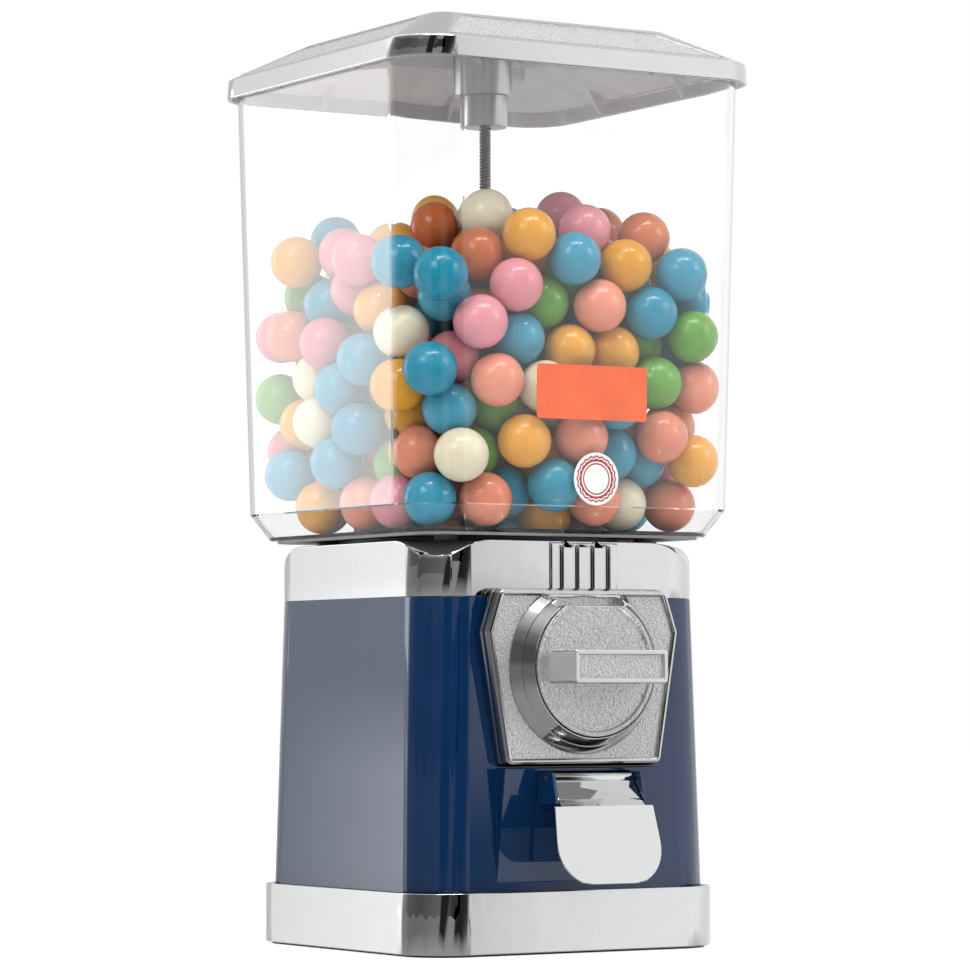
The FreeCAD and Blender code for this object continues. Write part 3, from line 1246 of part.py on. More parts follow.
def gumballs():
    heap = Heap()
    centres = heap.fill(seed=7)
    chance = random.Random(21)
    names = [name for name, share in COLOURS]
    shares = [share for name, share in COLOURS]
    sorted_by_colour = {name: [] for name in names}
    for number, centre in enumerate(centres):
        name = names[number] if number < len(names) else chance.choices(names, shares)[0]
        sorted_by_colour[name].append(Part.makeSphere(heap.radius, Vector(*centre)))
    for name, balls in sorted_by_colour.items():
        made = doc.addObject("Part::Feature", f"gumballs_{name}")
        made.Shape = Part.makeCompound(balls)
        node(made, f"gumballs_{name}")
    wheel_gumballs(heap.radius)


def write_parts():
    """Check every object and write one file for each sub-part."""
    doc.recompute()
    for piece in doc.Objects:
        if "Invalid" in piece.State or "Error" in piece.State:
            raise RuntimeError(f"{piece.Name} failed: {piece.State}")
    os.makedirs("parts", exist_ok=True)
    for piece in nodes:
        if piece.Shape.isNull() or not piece.Shape.isValid():
            raise RuntimeError(f"{piece.Label} has no valid shape")
        piece.Shape.exportStep(f"parts/{piece.Label}.step")


for build in (base_sole, base_tray, body_shell, collar, dispenser_pan, gumball_wheel, hopper_ring, ball_guard,
              globe, globe_gasket, globe_pads, center_rod, rod_nuts, lid, lock_barrel, lock_plug,
              coin_faceplate, coin_knob, coin_carrier, knob_shaft, ratchet_wheel, pawl, pawl_pin, drive_pinion,
              shaft_clip, mech_back_plate, mech_posts, spout, hinge_pin, chute_door, chute, gumballs):
    build()
write_parts()
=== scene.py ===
"""Gumball machine with a square clear globe: its finishes, added pieces and studio."""

import logging
import math
import random
from dataclasses import dataclass
from enum import Enum, IntEnum
from typing import Any

import bmesh
import bpy
import numpy as np
from mathutils import Matrix, Quaternion, Vector


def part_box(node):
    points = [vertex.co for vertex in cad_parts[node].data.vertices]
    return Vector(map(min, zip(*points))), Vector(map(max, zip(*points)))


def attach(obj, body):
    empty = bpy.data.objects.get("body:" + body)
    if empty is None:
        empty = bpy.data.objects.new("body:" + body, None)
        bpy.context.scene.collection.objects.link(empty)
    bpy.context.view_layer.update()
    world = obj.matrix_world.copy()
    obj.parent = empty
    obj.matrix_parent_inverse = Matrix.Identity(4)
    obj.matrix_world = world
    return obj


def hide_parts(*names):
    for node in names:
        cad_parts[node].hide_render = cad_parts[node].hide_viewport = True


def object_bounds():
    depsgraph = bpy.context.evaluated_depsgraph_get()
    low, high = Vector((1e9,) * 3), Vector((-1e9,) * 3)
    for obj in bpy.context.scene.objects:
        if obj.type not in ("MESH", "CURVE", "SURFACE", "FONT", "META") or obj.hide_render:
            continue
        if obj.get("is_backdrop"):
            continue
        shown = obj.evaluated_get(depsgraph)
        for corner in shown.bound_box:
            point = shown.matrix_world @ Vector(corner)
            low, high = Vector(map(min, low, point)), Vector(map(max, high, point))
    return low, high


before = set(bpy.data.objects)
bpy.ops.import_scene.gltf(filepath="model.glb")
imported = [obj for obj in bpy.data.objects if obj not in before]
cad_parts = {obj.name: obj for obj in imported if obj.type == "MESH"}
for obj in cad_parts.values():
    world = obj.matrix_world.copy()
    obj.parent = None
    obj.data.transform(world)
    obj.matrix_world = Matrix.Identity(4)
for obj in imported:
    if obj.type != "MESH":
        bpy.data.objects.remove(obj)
CAD_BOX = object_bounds()

LOG = logging.getLogger("gumball_machine")
MM = 0.001
SHARP = math.radians(50.0)

Colour = tuple[float, float, float]
Place = tuple[float, float, float]
Pair = tuple[float, float]
Socket = bpy.types.NodeSocket
Material = bpy.types.Material
Piece = bpy.types.Object


class NodeGraph:
    """Shader node tree with short ways to add and join its nodes."""

    def __init__(self, owner: Material | bpy.types.World) -> None:
        """Start with the owner's tree emptied."""
        owner.use_nodes = True
        self.tree = owner.node_tree
        self.tree.nodes.clear()

    def add(self, kind: str, settings: dict[str, Any] | None = None, **inputs: Any) -> bpy.types.Node:
        """Add a node and fill its sockets.

        Args:
            kind: Node type without the ShaderNode prefix.
            settings: Properties of the node itself.
            inputs: Socket values or outputs to join, with _ for a space in a socket's name.

        Returns:
            The new node.
        """
        node = self.tree.nodes.new(f"ShaderNode{kind}")
        for name, setting in (settings or {}).items():
            setattr(node, name, setting)
        for name, value in inputs.items():
            self.feed(node.inputs[name.replace("_", " ")], value)
        return node

    def feed(self, socket: Socket, value: Any) -> None:
        """Join an output to a socket, or set the socket's own value."""
        if isinstance(value, Socket):
            self.tree.links.new(value, socket)
        elif isinstance(value, tuple) and len(value) == 3 and len(socket.default_value) == 4:
            socket.default_value = (*value, 1.0)
        else:
            socket.default_value = value

    def math(self, operation: str, *values: Any) -> Socket:
        """Add a Math node.

        Args:
            operation: Blender's name of the operation.
            values: Numbers or outputs, in the order of the node's sockets.

        Returns:
            The node's output.
        """
        node = self.add("Math", {"operation": operation})
        for socket, value in zip(node.inputs, values):
            self.feed(socket, value)
        return node.outputs[0]

    def blend(self, factor: Any, first: Any, second: Any) -> Socket:
        """Mix of two numbers by a factor."""
        node = self.add("Mix", {"data_type": "FLOAT"})
        for socket, value in zip((node.inputs[0], node.inputs[2], node.inputs[3]), (factor, first, second)):
            self.feed(socket, value)
        return node.outputs[0]

    def either(self, factor: Any, first: Socket, second: Socket) -> Socket:
        """Mix of two shaders by a factor."""
        node = self.add("MixShader", Fac=factor)
        self.feed(node.inputs[1], first)
        self.feed(node.inputs[2], second)
        return node.outputs[0]

    def spread(self, factor: Socket, low: float, high: float,
               start: float = 0.3, end: float = 0.7) -> Socket:
        """Map a factor from one range to another, clamped.

        Args:
            factor: Output to map.
            low: Result at the start of the range.
            high: Result at the end of the range.
            start: Factor that gives the low result.
            end: Factor that gives the high result.

        Returns:
            The mapped output.
        """
        node = self.add("MapRange", Value=factor, From_Min=start, From_Max=end, To_Min=low, To_Max=high)
        return node.outputs["Result"]


@dataclass(frozen=True)
class Pattern:
    """Noise over a surface: waves to the metre, steps of detail and the weight of each finer step."""

    waves: float
    detail: float = 3.0
    finer: float = 0.55


@dataclass(frozen=True)
class Grain:
    """Fine unevenness that bends reflections: its pattern, its height and how strongly it shows."""

    pattern: Pattern
    height: float
    strength: float = 0.4


class ShaderGraph(NodeGraph):
    """Node tree of one material."""

    def __init__(self, name: str) -> None:
        """Start an empty material of that name."""
        self.material = bpy.data.materials.new(name)
        super().__init__(self.material)
        self.coords = self.add("TexCoord").outputs["Object"]

    def noise(self, pattern: Pattern) -> Socket:
        """Noise over the object's own coordinates."""
        node = self.add("TexNoise", Vector=self.coords, Scale=pattern.waves, Detail=pattern.detail,
                        Roughness=pattern.finer)
        return node.outputs["Fac"]

    def mix(self, factor: Any, first: Any, second: Any) -> Socket:
        """Mix of two colours by a factor."""
        node = self.add("Mix", {"data_type": "RGBA"})
        for socket, value in zip((node.inputs[0], node.inputs[6], node.inputs[7]), (factor, first, second)):
            self.feed(socket, value)
        return node.outputs[2]

    def mottle(self, noise: Socket, tint: Colour, shade: Colour) -> Socket:
        """Colour that goes from a tint to a shade over a noise."""
        return self.mix(self.spread(noise, 0.0, 1.0), tint, shade)

    def bump(self, height: Socket, depth: float, strength: Any) -> Socket:
        """Bump of a height in metres."""
        return self.add("Bump", Height=height, Distance=depth, Strength=strength).outputs["Normal"]

    def grained(self, grain: Grain) -> Socket:
        """Bump of a fine grain."""
        return self.bump(self.noise(grain.pattern), grain.height, grain.strength)

    def surface(self, shader: Socket) -> Material:
        """End the tree with a surface shader and hand over the material."""
        output = self.add("OutputMaterial")
        self.feed(output.inputs["Surface"], shader)
        return self.material

    def principled(self, **inputs: Any) -> Material:
        """End the tree with a Principled shader."""
        return self.surface(self.add("BsdfPrincipled", None, **inputs).outputs["BSDF"])


@dataclass(frozen=True)
class ChromeFinish:
    """Polished plate on pressed sheet, with faint waves and wiping marks."""

    name: str = "chrome_plate"
    tint: Colour = (0.645, 0.65, 0.655)
    shade: Colour = (0.625, 0.63, 0.635)
    rough: Pair = (0.02, 0.045)
    marks: Pattern = Pattern(140.0, 4.0)
    waves: Grain = Grain(Pattern(22.0, 1.0), 0.05 * MM, 0.5)

    def material(self) -> Material:
        """Build the material."""
        graph = ShaderGraph(self.name)
        marks = graph.noise(self.marks)
        return graph.principled(
            Base_Color=graph.mottle(marks, self.tint, self.shade), Metallic=1.0,
            Roughness=graph.spread(marks, *self.rough), Normal=graph.grained(self.waves))


@dataclass(frozen=True)
class PaintFinish:
    """Glossy enamel on sheet with a slight orange peel."""

    name: str = "navy_enamel"
    tint: Colour = (0.0030, 0.0225, 0.076)
    shade: Colour = (0.0026, 0.0200, 0.069)
    rough: Pair = (0.015, 0.03)
    coat: float = 0.3
    coat_rough: float = 0.01
    cloud: Pattern = Pattern(35.0)
    peel: Grain = Grain(Pattern(900.0, 2.0), 0.007 * MM, 0.35)

    def material(self) -> Material:
        """Build the material."""
        graph = ShaderGraph(self.name)
        cloud = graph.noise(self.cloud)
        return graph.principled(
            Base_Color=graph.mottle(cloud, self.tint, self.shade),
            Roughness=graph.spread(cloud, *self.rough), Normal=graph.grained(self.peel),
            Coat_Weight=self.coat, Coat_Roughness=self.coat_rough)


@dataclass(frozen=True)
class CastFinish:
    """Bright cast metal, pebbled all over or on chosen faces that look to the front, with painted shade
    between the pebbles.
    """

    name: str
    pebbled: tuple[float, ...] = ()
    tint: Colour = (0.75, 0.75, 0.745)
    shade: Colour = (0.40, 0.40, 0.40)
    grain: float = 1250.0
    depth: float = 0.27 * MM
    strength: float = 0.85
    # Weight of the pebbles in the height, waves of grit to a pebble, and the heights of shade and tint; the
    # shade in the low valleys between pebbles is painted shade.
    pebble: float = 0.8
    grit: float = 0.8
    tones: Pair = (-0.2, 0.6)
    # How near to a plane the pebbles reach, and how much less metallic and how much rougher they are.
    reach: float = 0.25 * MM
    dull: float = 0.4
    coarse: float = 0.10
    rough: Pair = (0.16, 0.24)
    smear: Pattern = Pattern(90.0)

    def mask(self, graph: ShaderGraph) -> Socket | float:
        """One on the pebbled planes and nought elsewhere.

        Args:
            graph: Node tree that the mask joins.

        Returns:
            The mask as an output, or a plain one where no plane is named.
        """
        if not self.pebbled:
            return 1.0
        depth = graph.add("SeparateXYZ", Vector=graph.coords).outputs["Y"]
        found: Socket | None = None
        for plane in self.pebbled:
            near = graph.math("COMPARE", depth, plane, self.reach)
            found = near if found is None else graph.math("MAXIMUM", found, near)
        return found

    def material(self) -> Material:
        """Build the material."""
        graph = ShaderGraph(self.name)
        mask = self.mask(graph)
        cells = graph.add("TexVoronoi", {"feature": "SMOOTH_F1"}, Vector=graph.coords, Scale=self.grain)
        grit = graph.noise(Pattern(self.grain * self.grit))
        height = graph.math("ADD", graph.math("MULTIPLY", cells.outputs["Distance"], -self.pebble), grit)
        # Darker colour in the low valleys between the pebbles: painted shade over the real grain.
        tone = graph.math("MULTIPLY", graph.spread(height, 1.0, 0.0, *self.tones), mask)
        smear = graph.spread(graph.noise(self.smear), *self.rough)
        return graph.principled(
            Base_Color=graph.mix(tone, self.tint, self.shade),
            Metallic=graph.math("SUBTRACT", 1.0, graph.math("MULTIPLY", mask, self.dull)),
            Roughness=graph.math("ADD", smear, graph.math("MULTIPLY", mask, self.coarse)),
            Normal=graph.bump(height, self.depth, graph.math("MULTIPLY", mask, self.strength)))


@dataclass(frozen=True)
class SteelFinish:
    """Plain turned or drawn steel."""

    name: str = "plain_steel"
    tint: Colour = (0.52, 0.52, 0.525)
    shade: Colour = (0.40, 0.40, 0.41)
    rough: Pair = (0.26, 0.36)
    stain: Pattern = Pattern(120.0, 4.0)
    grain: Grain = Grain(Pattern(2600.0, 2.0), 0.02 * MM)

    def material(self) -> Material:
        """Build the material."""
        graph = ShaderGraph(self.name)
        grain = graph.noise(self.grain.pattern)
        return graph.principled(
            Base_Color=graph.mottle(graph.noise(self.stain), self.tint, self.shade), Metallic=1.0,
            Roughness=graph.spread(grain, *self.rough),
            Normal=graph.bump(grain, self.grain.height, self.grain.strength))


@dataclass(frozen=True)
class SatinFinish:
    """Dull surface with faint clouds and a fine grain, as on the hidden side of the lid."""

    name: str = "satin_casting"
    tint: Colour = (0.72, 0.72, 0.72)
    shade: Colour = (0.64, 0.64, 0.645)
    metal: float = 0.4
    rough: float = 0.42
    uneven: float = 0.04
    cloud: Pattern = Pattern(70.0)
    grain: Grain = Grain(Pattern(1800.0, 2.0), 0.03 * MM)

    def material(self) -> Material:
        """Build the material."""
        graph = ShaderGraph(self.name)
        cloud = graph.noise(self.cloud)
        return graph.principled(
            Base_Color=graph.mottle(cloud, self.tint, self.shade), Metallic=self.metal,
            Roughness=graph.spread(cloud, self.rough - self.uneven, self.rough + self.uneven),
            Normal=graph.grained(self.grain))


@dataclass(frozen=True)
class ClearFinish:
    """Clear moulded plastic that lets lamps through."""

    name: str = "clear_plastic"
    tint: Colour = (1.0, 1.0, 1.0)
    bend: float = 1.47
    flow: Grain = Grain(Pattern(16.0, 2.0), 0.05 * MM, 0.25)

    def material(self) -> Material:
        """Build the material."""
        graph = ShaderGraph(self.name)
        glass = graph.add("BsdfPrincipled", Base_Color=self.tint, Roughness=0.0, IOR=self.bend,
                          Transmission_Weight=1.0, Normal=graph.grained(self.flow))
        path = graph.add("LightPath").outputs
        lamp = graph.math("MAXIMUM", path["Is Shadow Ray"], path["Is Diffuse Ray"])
        through = graph.add("BsdfTransparent", Color=self.tint)
        return graph.surface(graph.either(lamp, glass.outputs["BSDF"], through.outputs["BSDF"]))


class Candy(Enum):
    """Gumball colours."""

    BLUE = (0.004, 0.258, 0.395)
    PINK = (0.690, 0.225, 0.270)
    SALMON = (0.740, 0.240, 0.140)
    ORANGE = (0.540, 0.112, 0.010)
    YELLOW = (0.740, 0.325, 0.002)
    GREEN = (0.088, 0.310, 0.006)
    CREAM = (0.800, 0.730, 0.530)


@dataclass(frozen=True)
class CandyFinish:
    """Polished sugar shell with faint blotches, each ball a little off the next."""

    candy: Candy
    # Weight of each ball's own tone against its blotches, and how far the tones go darker and paler.
    own: float = 0.5
    darker: float = 0.80
    paler: float = 0.07
    tones: Pair = (0.2, 0.8)
    rough: Pair = (0.14, 0.18)
    gloss: float = 0.4
    # Share, colour and depth of the light that goes into the sugar.
    soft: float = 0.12
    soft_colour: Colour = (0.9, 0.6, 0.4)
    soft_depth: float = 2.0 * MM
    blotch: Pattern = Pattern(210.0, 4.0, 0.6)

    def material(self) -> Material:
        """Build the material."""
        graph = ShaderGraph(f"candy_{self.candy.name.lower()}")
        tone = graph.add("Attribute", {"attribute_name": Filling.TONE}).outputs["Fac"]
        blotch = graph.noise(self.blotch)
        mixed = graph.math("ADD", graph.math("MULTIPLY", tone, self.own),
                           graph.math("MULTIPLY", blotch, 1.0 - self.own))
        deep = tuple(part * self.darker for part in self.candy.value)
        pale = tuple(part + (1.0 - part) * self.paler for part in self.candy.value)
        return graph.principled(
            Base_Color=graph.mix(graph.spread(mixed, 0.0, 1.0, *self.tones), deep, pale),
            Roughness=graph.spread(blotch, *self.rough), Specular_IOR_Level=self.gloss,
            Subsurface_Weight=self.soft, Subsurface_Radius=self.soft_colour,
            Subsurface_Scale=self.soft_depth)


@dataclass(frozen=True)
class MouldedFinish:
    """Plain moulded plastic or rubber with a fine grain."""

    name: str
    tint: Colour
    rough: float = 0.45
    uneven: float = 0.05
    darker: float = 0.86
    cloud: Pattern = Pattern(60.0)
    grain: Grain = Grain(Pattern(1500.0, 2.0), 0.04 * MM)

    def material(self) -> Material:
        """Build the material as a satin one without metal."""
        shade = tuple(part * self.darker for part in self.tint)
        return SatinFinish(self.name, self.tint, shade, 0.0, self.rough, self.uneven, self.cloud,
                           self.grain).material()


@dataclass(frozen=True)
class EdgeRound:
    """Small rounding of the sharp edges of a CAD node."""

    width: float = 0.45 * MM
    segments: int = 2
    angle: float = 35.0
    weld: float = 0.002 * MM

    def apply(self, piece: Piece) -> None:
        """Add the rounding as modifiers.

        Args:
            piece: CAD node whose own mesh stays as it is.
        """
        weld = piece.modifiers.new("weld", "WELD")
        weld.merge_threshold = self.weld
        bevel = piece.modifiers.new("round", "BEVEL")
        bevel.width = self.width
        bevel.segments = self.segments
        bevel.limit_method = "ANGLE"
        bevel.angle_limit = math.radians(self.angle)
        bevel.use_clamp_overlap = False
        bevel.harden_normals = True


def dress(name: str, material: Material, rounding: EdgeRound | None = None) -> None:
    """Give a CAD node its material, and round its edges where asked.

    Args:
        name: CAD node.
        material: Finish for all its faces.
        rounding: Edge rounding, or None for the edges as they are.
    """
    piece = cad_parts[name]
    piece.data.materials.clear()
    piece.data.materials.append(material)
    if rounding is not None:
        rounding.apply(piece)
    LOG.info("dressed %s in %s", name, material.name)


def add_piece(name: str, mesh: bpy.types.Mesh, body: str, materials: list[Material]) -> Piece:
    """Put a new mesh in the scene and let it ride on a body.

    Args:
        name: Piece name.
        mesh: Finished mesh, in metres in the shared frame.
        body: CAD body that carries it.
        materials: Materials in the order of the mesh's material indices.

    Returns:
        The new piece.
    """
    piece = bpy.data.objects.new(name, mesh)
    bpy.context.scene.collection.objects.link(piece)
    for material in materials:
        mesh.materials.append(material)
    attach(piece, body)
    LOG.info("built %s with %d faces", name, len(mesh.polygons))
    return piece


def skin(name: str, rows: list[list[Vector]], ring: bool) -> bpy.types.Mesh:
    """Smooth skin through rows of points, each row closed on itself.

    Args:
        name: Mesh name.
        rows: Rows with the same number of points.
        ring: Whether the last row joins the first; otherwise both ends are capped.

    Returns:
        The finished mesh.
    """
    count = len(rows[0])
    faces: list[tuple[int, ...]] = []
    for row in range(len(rows) if ring else len(rows) - 1):
        here, ahead = row * count, (row + 1) % len(rows) * count
        for index in range(count):
            after = (index + 1) % count
            faces.append((here + index, here + after, ahead + after, ahead + index))
    if not ring:
        last = (len(rows) - 1) * count
        faces += [tuple(reversed(range(count))), tuple(range(last, last + count))]
    mesh = bpy.data.meshes.new(name)
    mesh.from_pydata([tuple(point) for row in rows for point in row], [], faces)
    mesh.polygons.foreach_set("use_smooth", [True] * len(faces))
    mesh.set_sharp_from_angle(angle=SHARP)
    tidy = bmesh.new()
    tidy.from_mesh(mesh)
    bmesh.ops.recalc_face_normals(tidy, faces=tidy.faces)
    tidy.to_mesh(mesh)
    tidy.free()
    return mesh


@dataclass
class Cabinet:
    """Base tray, body, collar and spout."""

    chrome: Material
    paint: Material
    steel: Material
    rubber: Material
    moulded: Material
    painted_edge: EdgeRound = EdgeRound(0.22 * MM)
    door_edge: EdgeRound = EdgeRound(0.35 * MM)
    # Strips beside the mouth: inner and outer half-width, foot, top, thickness, height over the panel.
    mouth_half: float = 13.2 * MM
    strip_half: float = 25.6 * MM
    strip_low: float = 42.4 * MM
    strip_top: float = 70.0 * MM
    strip_thick: float = 2.2 * MM
    strip_proud: float = 1.8 * MM
    # Wedge panel on the body's front: depth and height of its foot, and its lean.
    panel_foot: Pair = (78.47 * MM, 28.7 * MM)
    panel_lean: float = 0.1316

    def build(self) -> None:
        """Dress the pieces of the cabinet."""
        dress("base_sole", self.rubber)
        for name in ("base_tray", "collar"):
            dress(name, self.chrome, EdgeRound())
        for name in ("body_shell", "spout"):
            dress(name, self.paint, self.painted_edge)
        for name in ("dispenser_pan", "gumball_wheel", "hopper_ring"):
            dress(name, self.moulded)
        for name in ("ball_guard", "rod_nuts", "hinge_pin"):
            dress(name, self.steel)
        dress("chute", self.rubber)
        dress("chute_door", self.chrome, self.door_edge)
        for side, sign in (("left", -1), ("right", 1)):
            self.build_strip(f"mouth_strip_{side}", sign)

    def build_strip(self, name: str, sign: int) -> Piece:
        """Painted strip that narrows the mouth of the spout on one side.

        Args:
            name: Piece name.
            sign: Side, negative to the left.

        Returns:
            The strip.
        """
        foot_depth, foot_level = self.panel_foot
        rows = []
        for level in (self.strip_low, self.strip_top):
            front = -(foot_depth + self.panel_lean * (level - foot_level)) - self.strip_proud
            back = front + self.strip_thick
            corners = ((self.mouth_half, front), (self.strip_half, front),
                       (self.strip_half, back), (self.mouth_half, back))
            rows.append([Vector((sign * across, depth, level)) for across, depth in corners])
        return add_piece(name, skin(name, rows, False), "cabinet", [self.paint])


@dataclass
class CoinMechanism:
    """Faceplate, knob and the works behind them."""

    steel: Material
    brass: Material
    ring_height: float = 6.5 * MM
    bead: float = 1.1 * MM
    # Length of the handle in front of the disc, and height of the knob's axis.
    handle: float = 21.0 * MM
    axis: float = 130.4 * MM
    edge: EdgeRound = EdgeRound(0.5 * MM, 3)
    bright: ChromeFinish = ChromeFinish(
        "bright_casting", (0.60, 0.60, 0.60), (0.55, 0.55, 0.555), (0.12, 0.18))
    # Paler, less metallic satin for the handle's sideways ends: painted light, not the knob's own finish.
    end: SatinFinish = SatinFinish("lit_end_satin", (0.72, 0.72, 0.72), (0.62, 0.62, 0.62), 0.6)
    # A face this much sideways is an end of the handle.
    sideways: float = 0.9
    # Faceplate outline about the knob's axis and its rounded corners, all in millimetres.
    outline: tuple[Pair, ...] = (
        (-41.3, -44.1), (41.3, -44.1), (51.2, 16.0), (45.0, 34.8), (-45.0, 34.8), (-51.2, 16.0))
    corner: float = 3.0
    corner_steps: int = 6
    # Moulding round the faceplate: millimetres beyond the outline and over the plate's back.
    moulding: tuple[Pair, ...] = (
        (0.2, 0.3), (1.0, 0.5), (1.15, 1.2), (1.1, 2.6), (0.7, 3.2), (0.6, 4.2), (0.6, 5.4), (0.35, 6.0),
        (0.25, 6.8), (0.0, 7.7), (-0.45, 8.35), (-1.1, 8.65), (-1.7, 8.55), (-2.2, 8.05), (-2.5, 7.3),
        (-2.55, 7.0), (-1.5, 6.0))
    # Ring round the knob from foot to bore: millimetres from the axis and over the plate's field.
    lip: tuple[Pair, ...] = (
        (34.0, 0.1), (39.9, 0.1), (39.7, 0.6), (39.4, 0.9), (36.6, 5.2), (36.3, 5.5), (36.1, 5.5),
        (35.9, 5.8), (33.1, 10.3), (32.9, 10.6), (32.6, 10.6), (32.4, 10.4), (32.4, 6.8), (34.0, 5.0))
    # Half of the ring's gap at the top, in degrees.
    lip_gap: float = 36.0
    lip_steps: int = 160

    def plate_row(self, reach: float, height: float, back: float) -> list[Vector]:
        """Faceplate outline drawn out by a reach, at a height over its back.

        Args:
            reach: How far beyond the outline, in millimetres.
            height: Height over the back, in millimetres.
            back: Depth of the plate's back in the shared frame.

        Returns:
            The points of the row.
        """
        corners = [Vector(corner) for corner in self.outline]
        row = []
        for index, corner in enumerate(corners):
            sides = (corner - corners[index - 1], corners[(index + 1) % len(corners)] - corner)
            turns = [math.atan2(-side.x, side.y) for side in sides]
            ways = [Vector((side.y, -side.x)).normalized() for side in sides]
            middle = corner - (ways[0] + ways[1]) * (self.corner / (1.0 + ways[0].dot(ways[1])))
            turn = math.remainder(turns[1] - turns[0], math.tau)
            for step in range(self.corner_steps + 1):
                angle = turns[0] + turn * step / self.corner_steps
                spot = middle + Vector((math.cos(angle), math.sin(angle))) * (self.corner + reach)
                row.append(Vector((spot.x * MM, back - height * MM, self.axis + spot.y * MM)))
        return row

    def build_moulding(self, finish: Material) -> Piece:
        """Rounded moulding over the faceplate's edge and bead.

        Args:
            finish: Cast metal.

        Returns:
            The moulding.
        """
        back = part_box("coin_faceplate")[1].y
        rows = [self.plate_row(reach, height, back) for reach, height in self.moulding]
        mesh = skin("plate_moulding", rows, True)
        return add_piece("plate_moulding", mesh, "cabinet", [finish])

    def build_lip(self, finish: Material) -> Piece:
        """Stepped ring round the knob, open at the top where the coin goes in.

        Args:
            finish: Cast metal.

        Returns:
            The ring.
        """
        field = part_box("coin_faceplate")[0].y + self.ring_height
        sweep = 360.0 - 2 * self.lip_gap
        rows = []
        for step in range(self.lip_steps + 1):
            angle = math.radians(self.lip_gap + sweep * step / self.lip_steps)
            across, up = math.sin(angle) * MM, math.cos(angle) * MM
            rows.append([Vector((radius * across, field - height * MM, self.axis + radius * up))
                         for radius, height in self.lip])
        return add_piece("knob_ring", skin("knob_ring", rows, False), "cabinet", [finish])

    def lighten_handle_ends(self, disc: float) -> None:
        """Give the two ends of the handle a duller, paler finish: painted light that stands in for the
        light falling on the ends.

        Args:
            disc: Depth of the knob's disc in the shared frame.
        """
        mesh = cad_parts["coin_knob"].data
        mesh.materials.append(self.end.material())
        duller = len(mesh.materials) - 1
        for face in mesh.polygons:
            if abs(face.normal.x) > self.sideways and face.center.y < disc - self.bead:
                face.material_index = duller

    def build(self) -> None:
        """Dress the mechanism, pebbled on the plate's field and the knob's faces."""
        plate_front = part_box("coin_faceplate")[0].y
        handle_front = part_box("coin_knob")[0].y
        field = plate_front + self.ring_height
        disc = handle_front + self.handle
        plate = CastFinish("cast_faceplate", (field,)).material()
        knob = CastFinish("cast_knob", (disc, disc + self.bead, handle_front + self.bead)).material()
        bright = self.bright.material()
        self.build_moulding(bright)
        self.build_lip(bright)
        dress("coin_faceplate", plate, self.edge)
        dress("coin_knob", knob, self.edge)
        self.lighten_handle_ends(disc)
        for name in ("coin_carrier", "knob_shaft", "ratchet_wheel", "pawl", "pawl_pin", "shaft_clip",
                     "mech_back_plate", "mech_posts", "mech_nuts"):
            dress(name, self.steel)
        dress("drive_pinion", self.brass)


@dataclass
class Rod:
    """Threaded rod up the middle of the globe."""

    steel: Material
    pitch: float = 1.5 * MM
    depth: float = 0.75 * MM
    steps: int = 20

    def build(self) -> Piece:
        """Cut a thread along the whole rod.

        Returns:
            The threaded rod, which stands for the plain one.
        """
        low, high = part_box("center_rod")
        crest = (high.x - low.x) / 2
        root = crest - self.depth
        turns = int((high.z - low.z) / self.pitch) - 1
        count = turns * self.steps
        points = []
        for step in range(count + 1):
            angle = math.tau * step / self.steps
            level = low.z + self.pitch * step / self.steps
            points.append((root * math.cos(angle), root * math.sin(angle), level))
            points.append((crest * math.cos(angle), crest * math.sin(angle), level + self.pitch / 2))
        faces = []
        for step in range(count):
            here, ahead = 2 * step, 2 * (step + 1)
            faces.append((here, ahead, ahead + 1, here + 1))
            if step + self.steps + 1 <= count:
                above, beyond = here + 2 * self.steps, ahead + 2 * self.steps
                faces.append((here + 1, ahead + 1, beyond, above))
        for start, flip in ((0, True), (2 * (count - self.steps), False)):
            ring = [start + 2 * step + (0 if flip else 1) for step in range(self.steps)]
            faces.append(tuple(reversed(ring)) if flip else tuple(ring))
        mesh = bpy.data.meshes.new("threaded_rod")
        mesh.from_pydata(points, [], faces)
        rod = add_piece("threaded_rod", mesh, "cabinet", [self.steel])
        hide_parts("center_rod")
        return rod


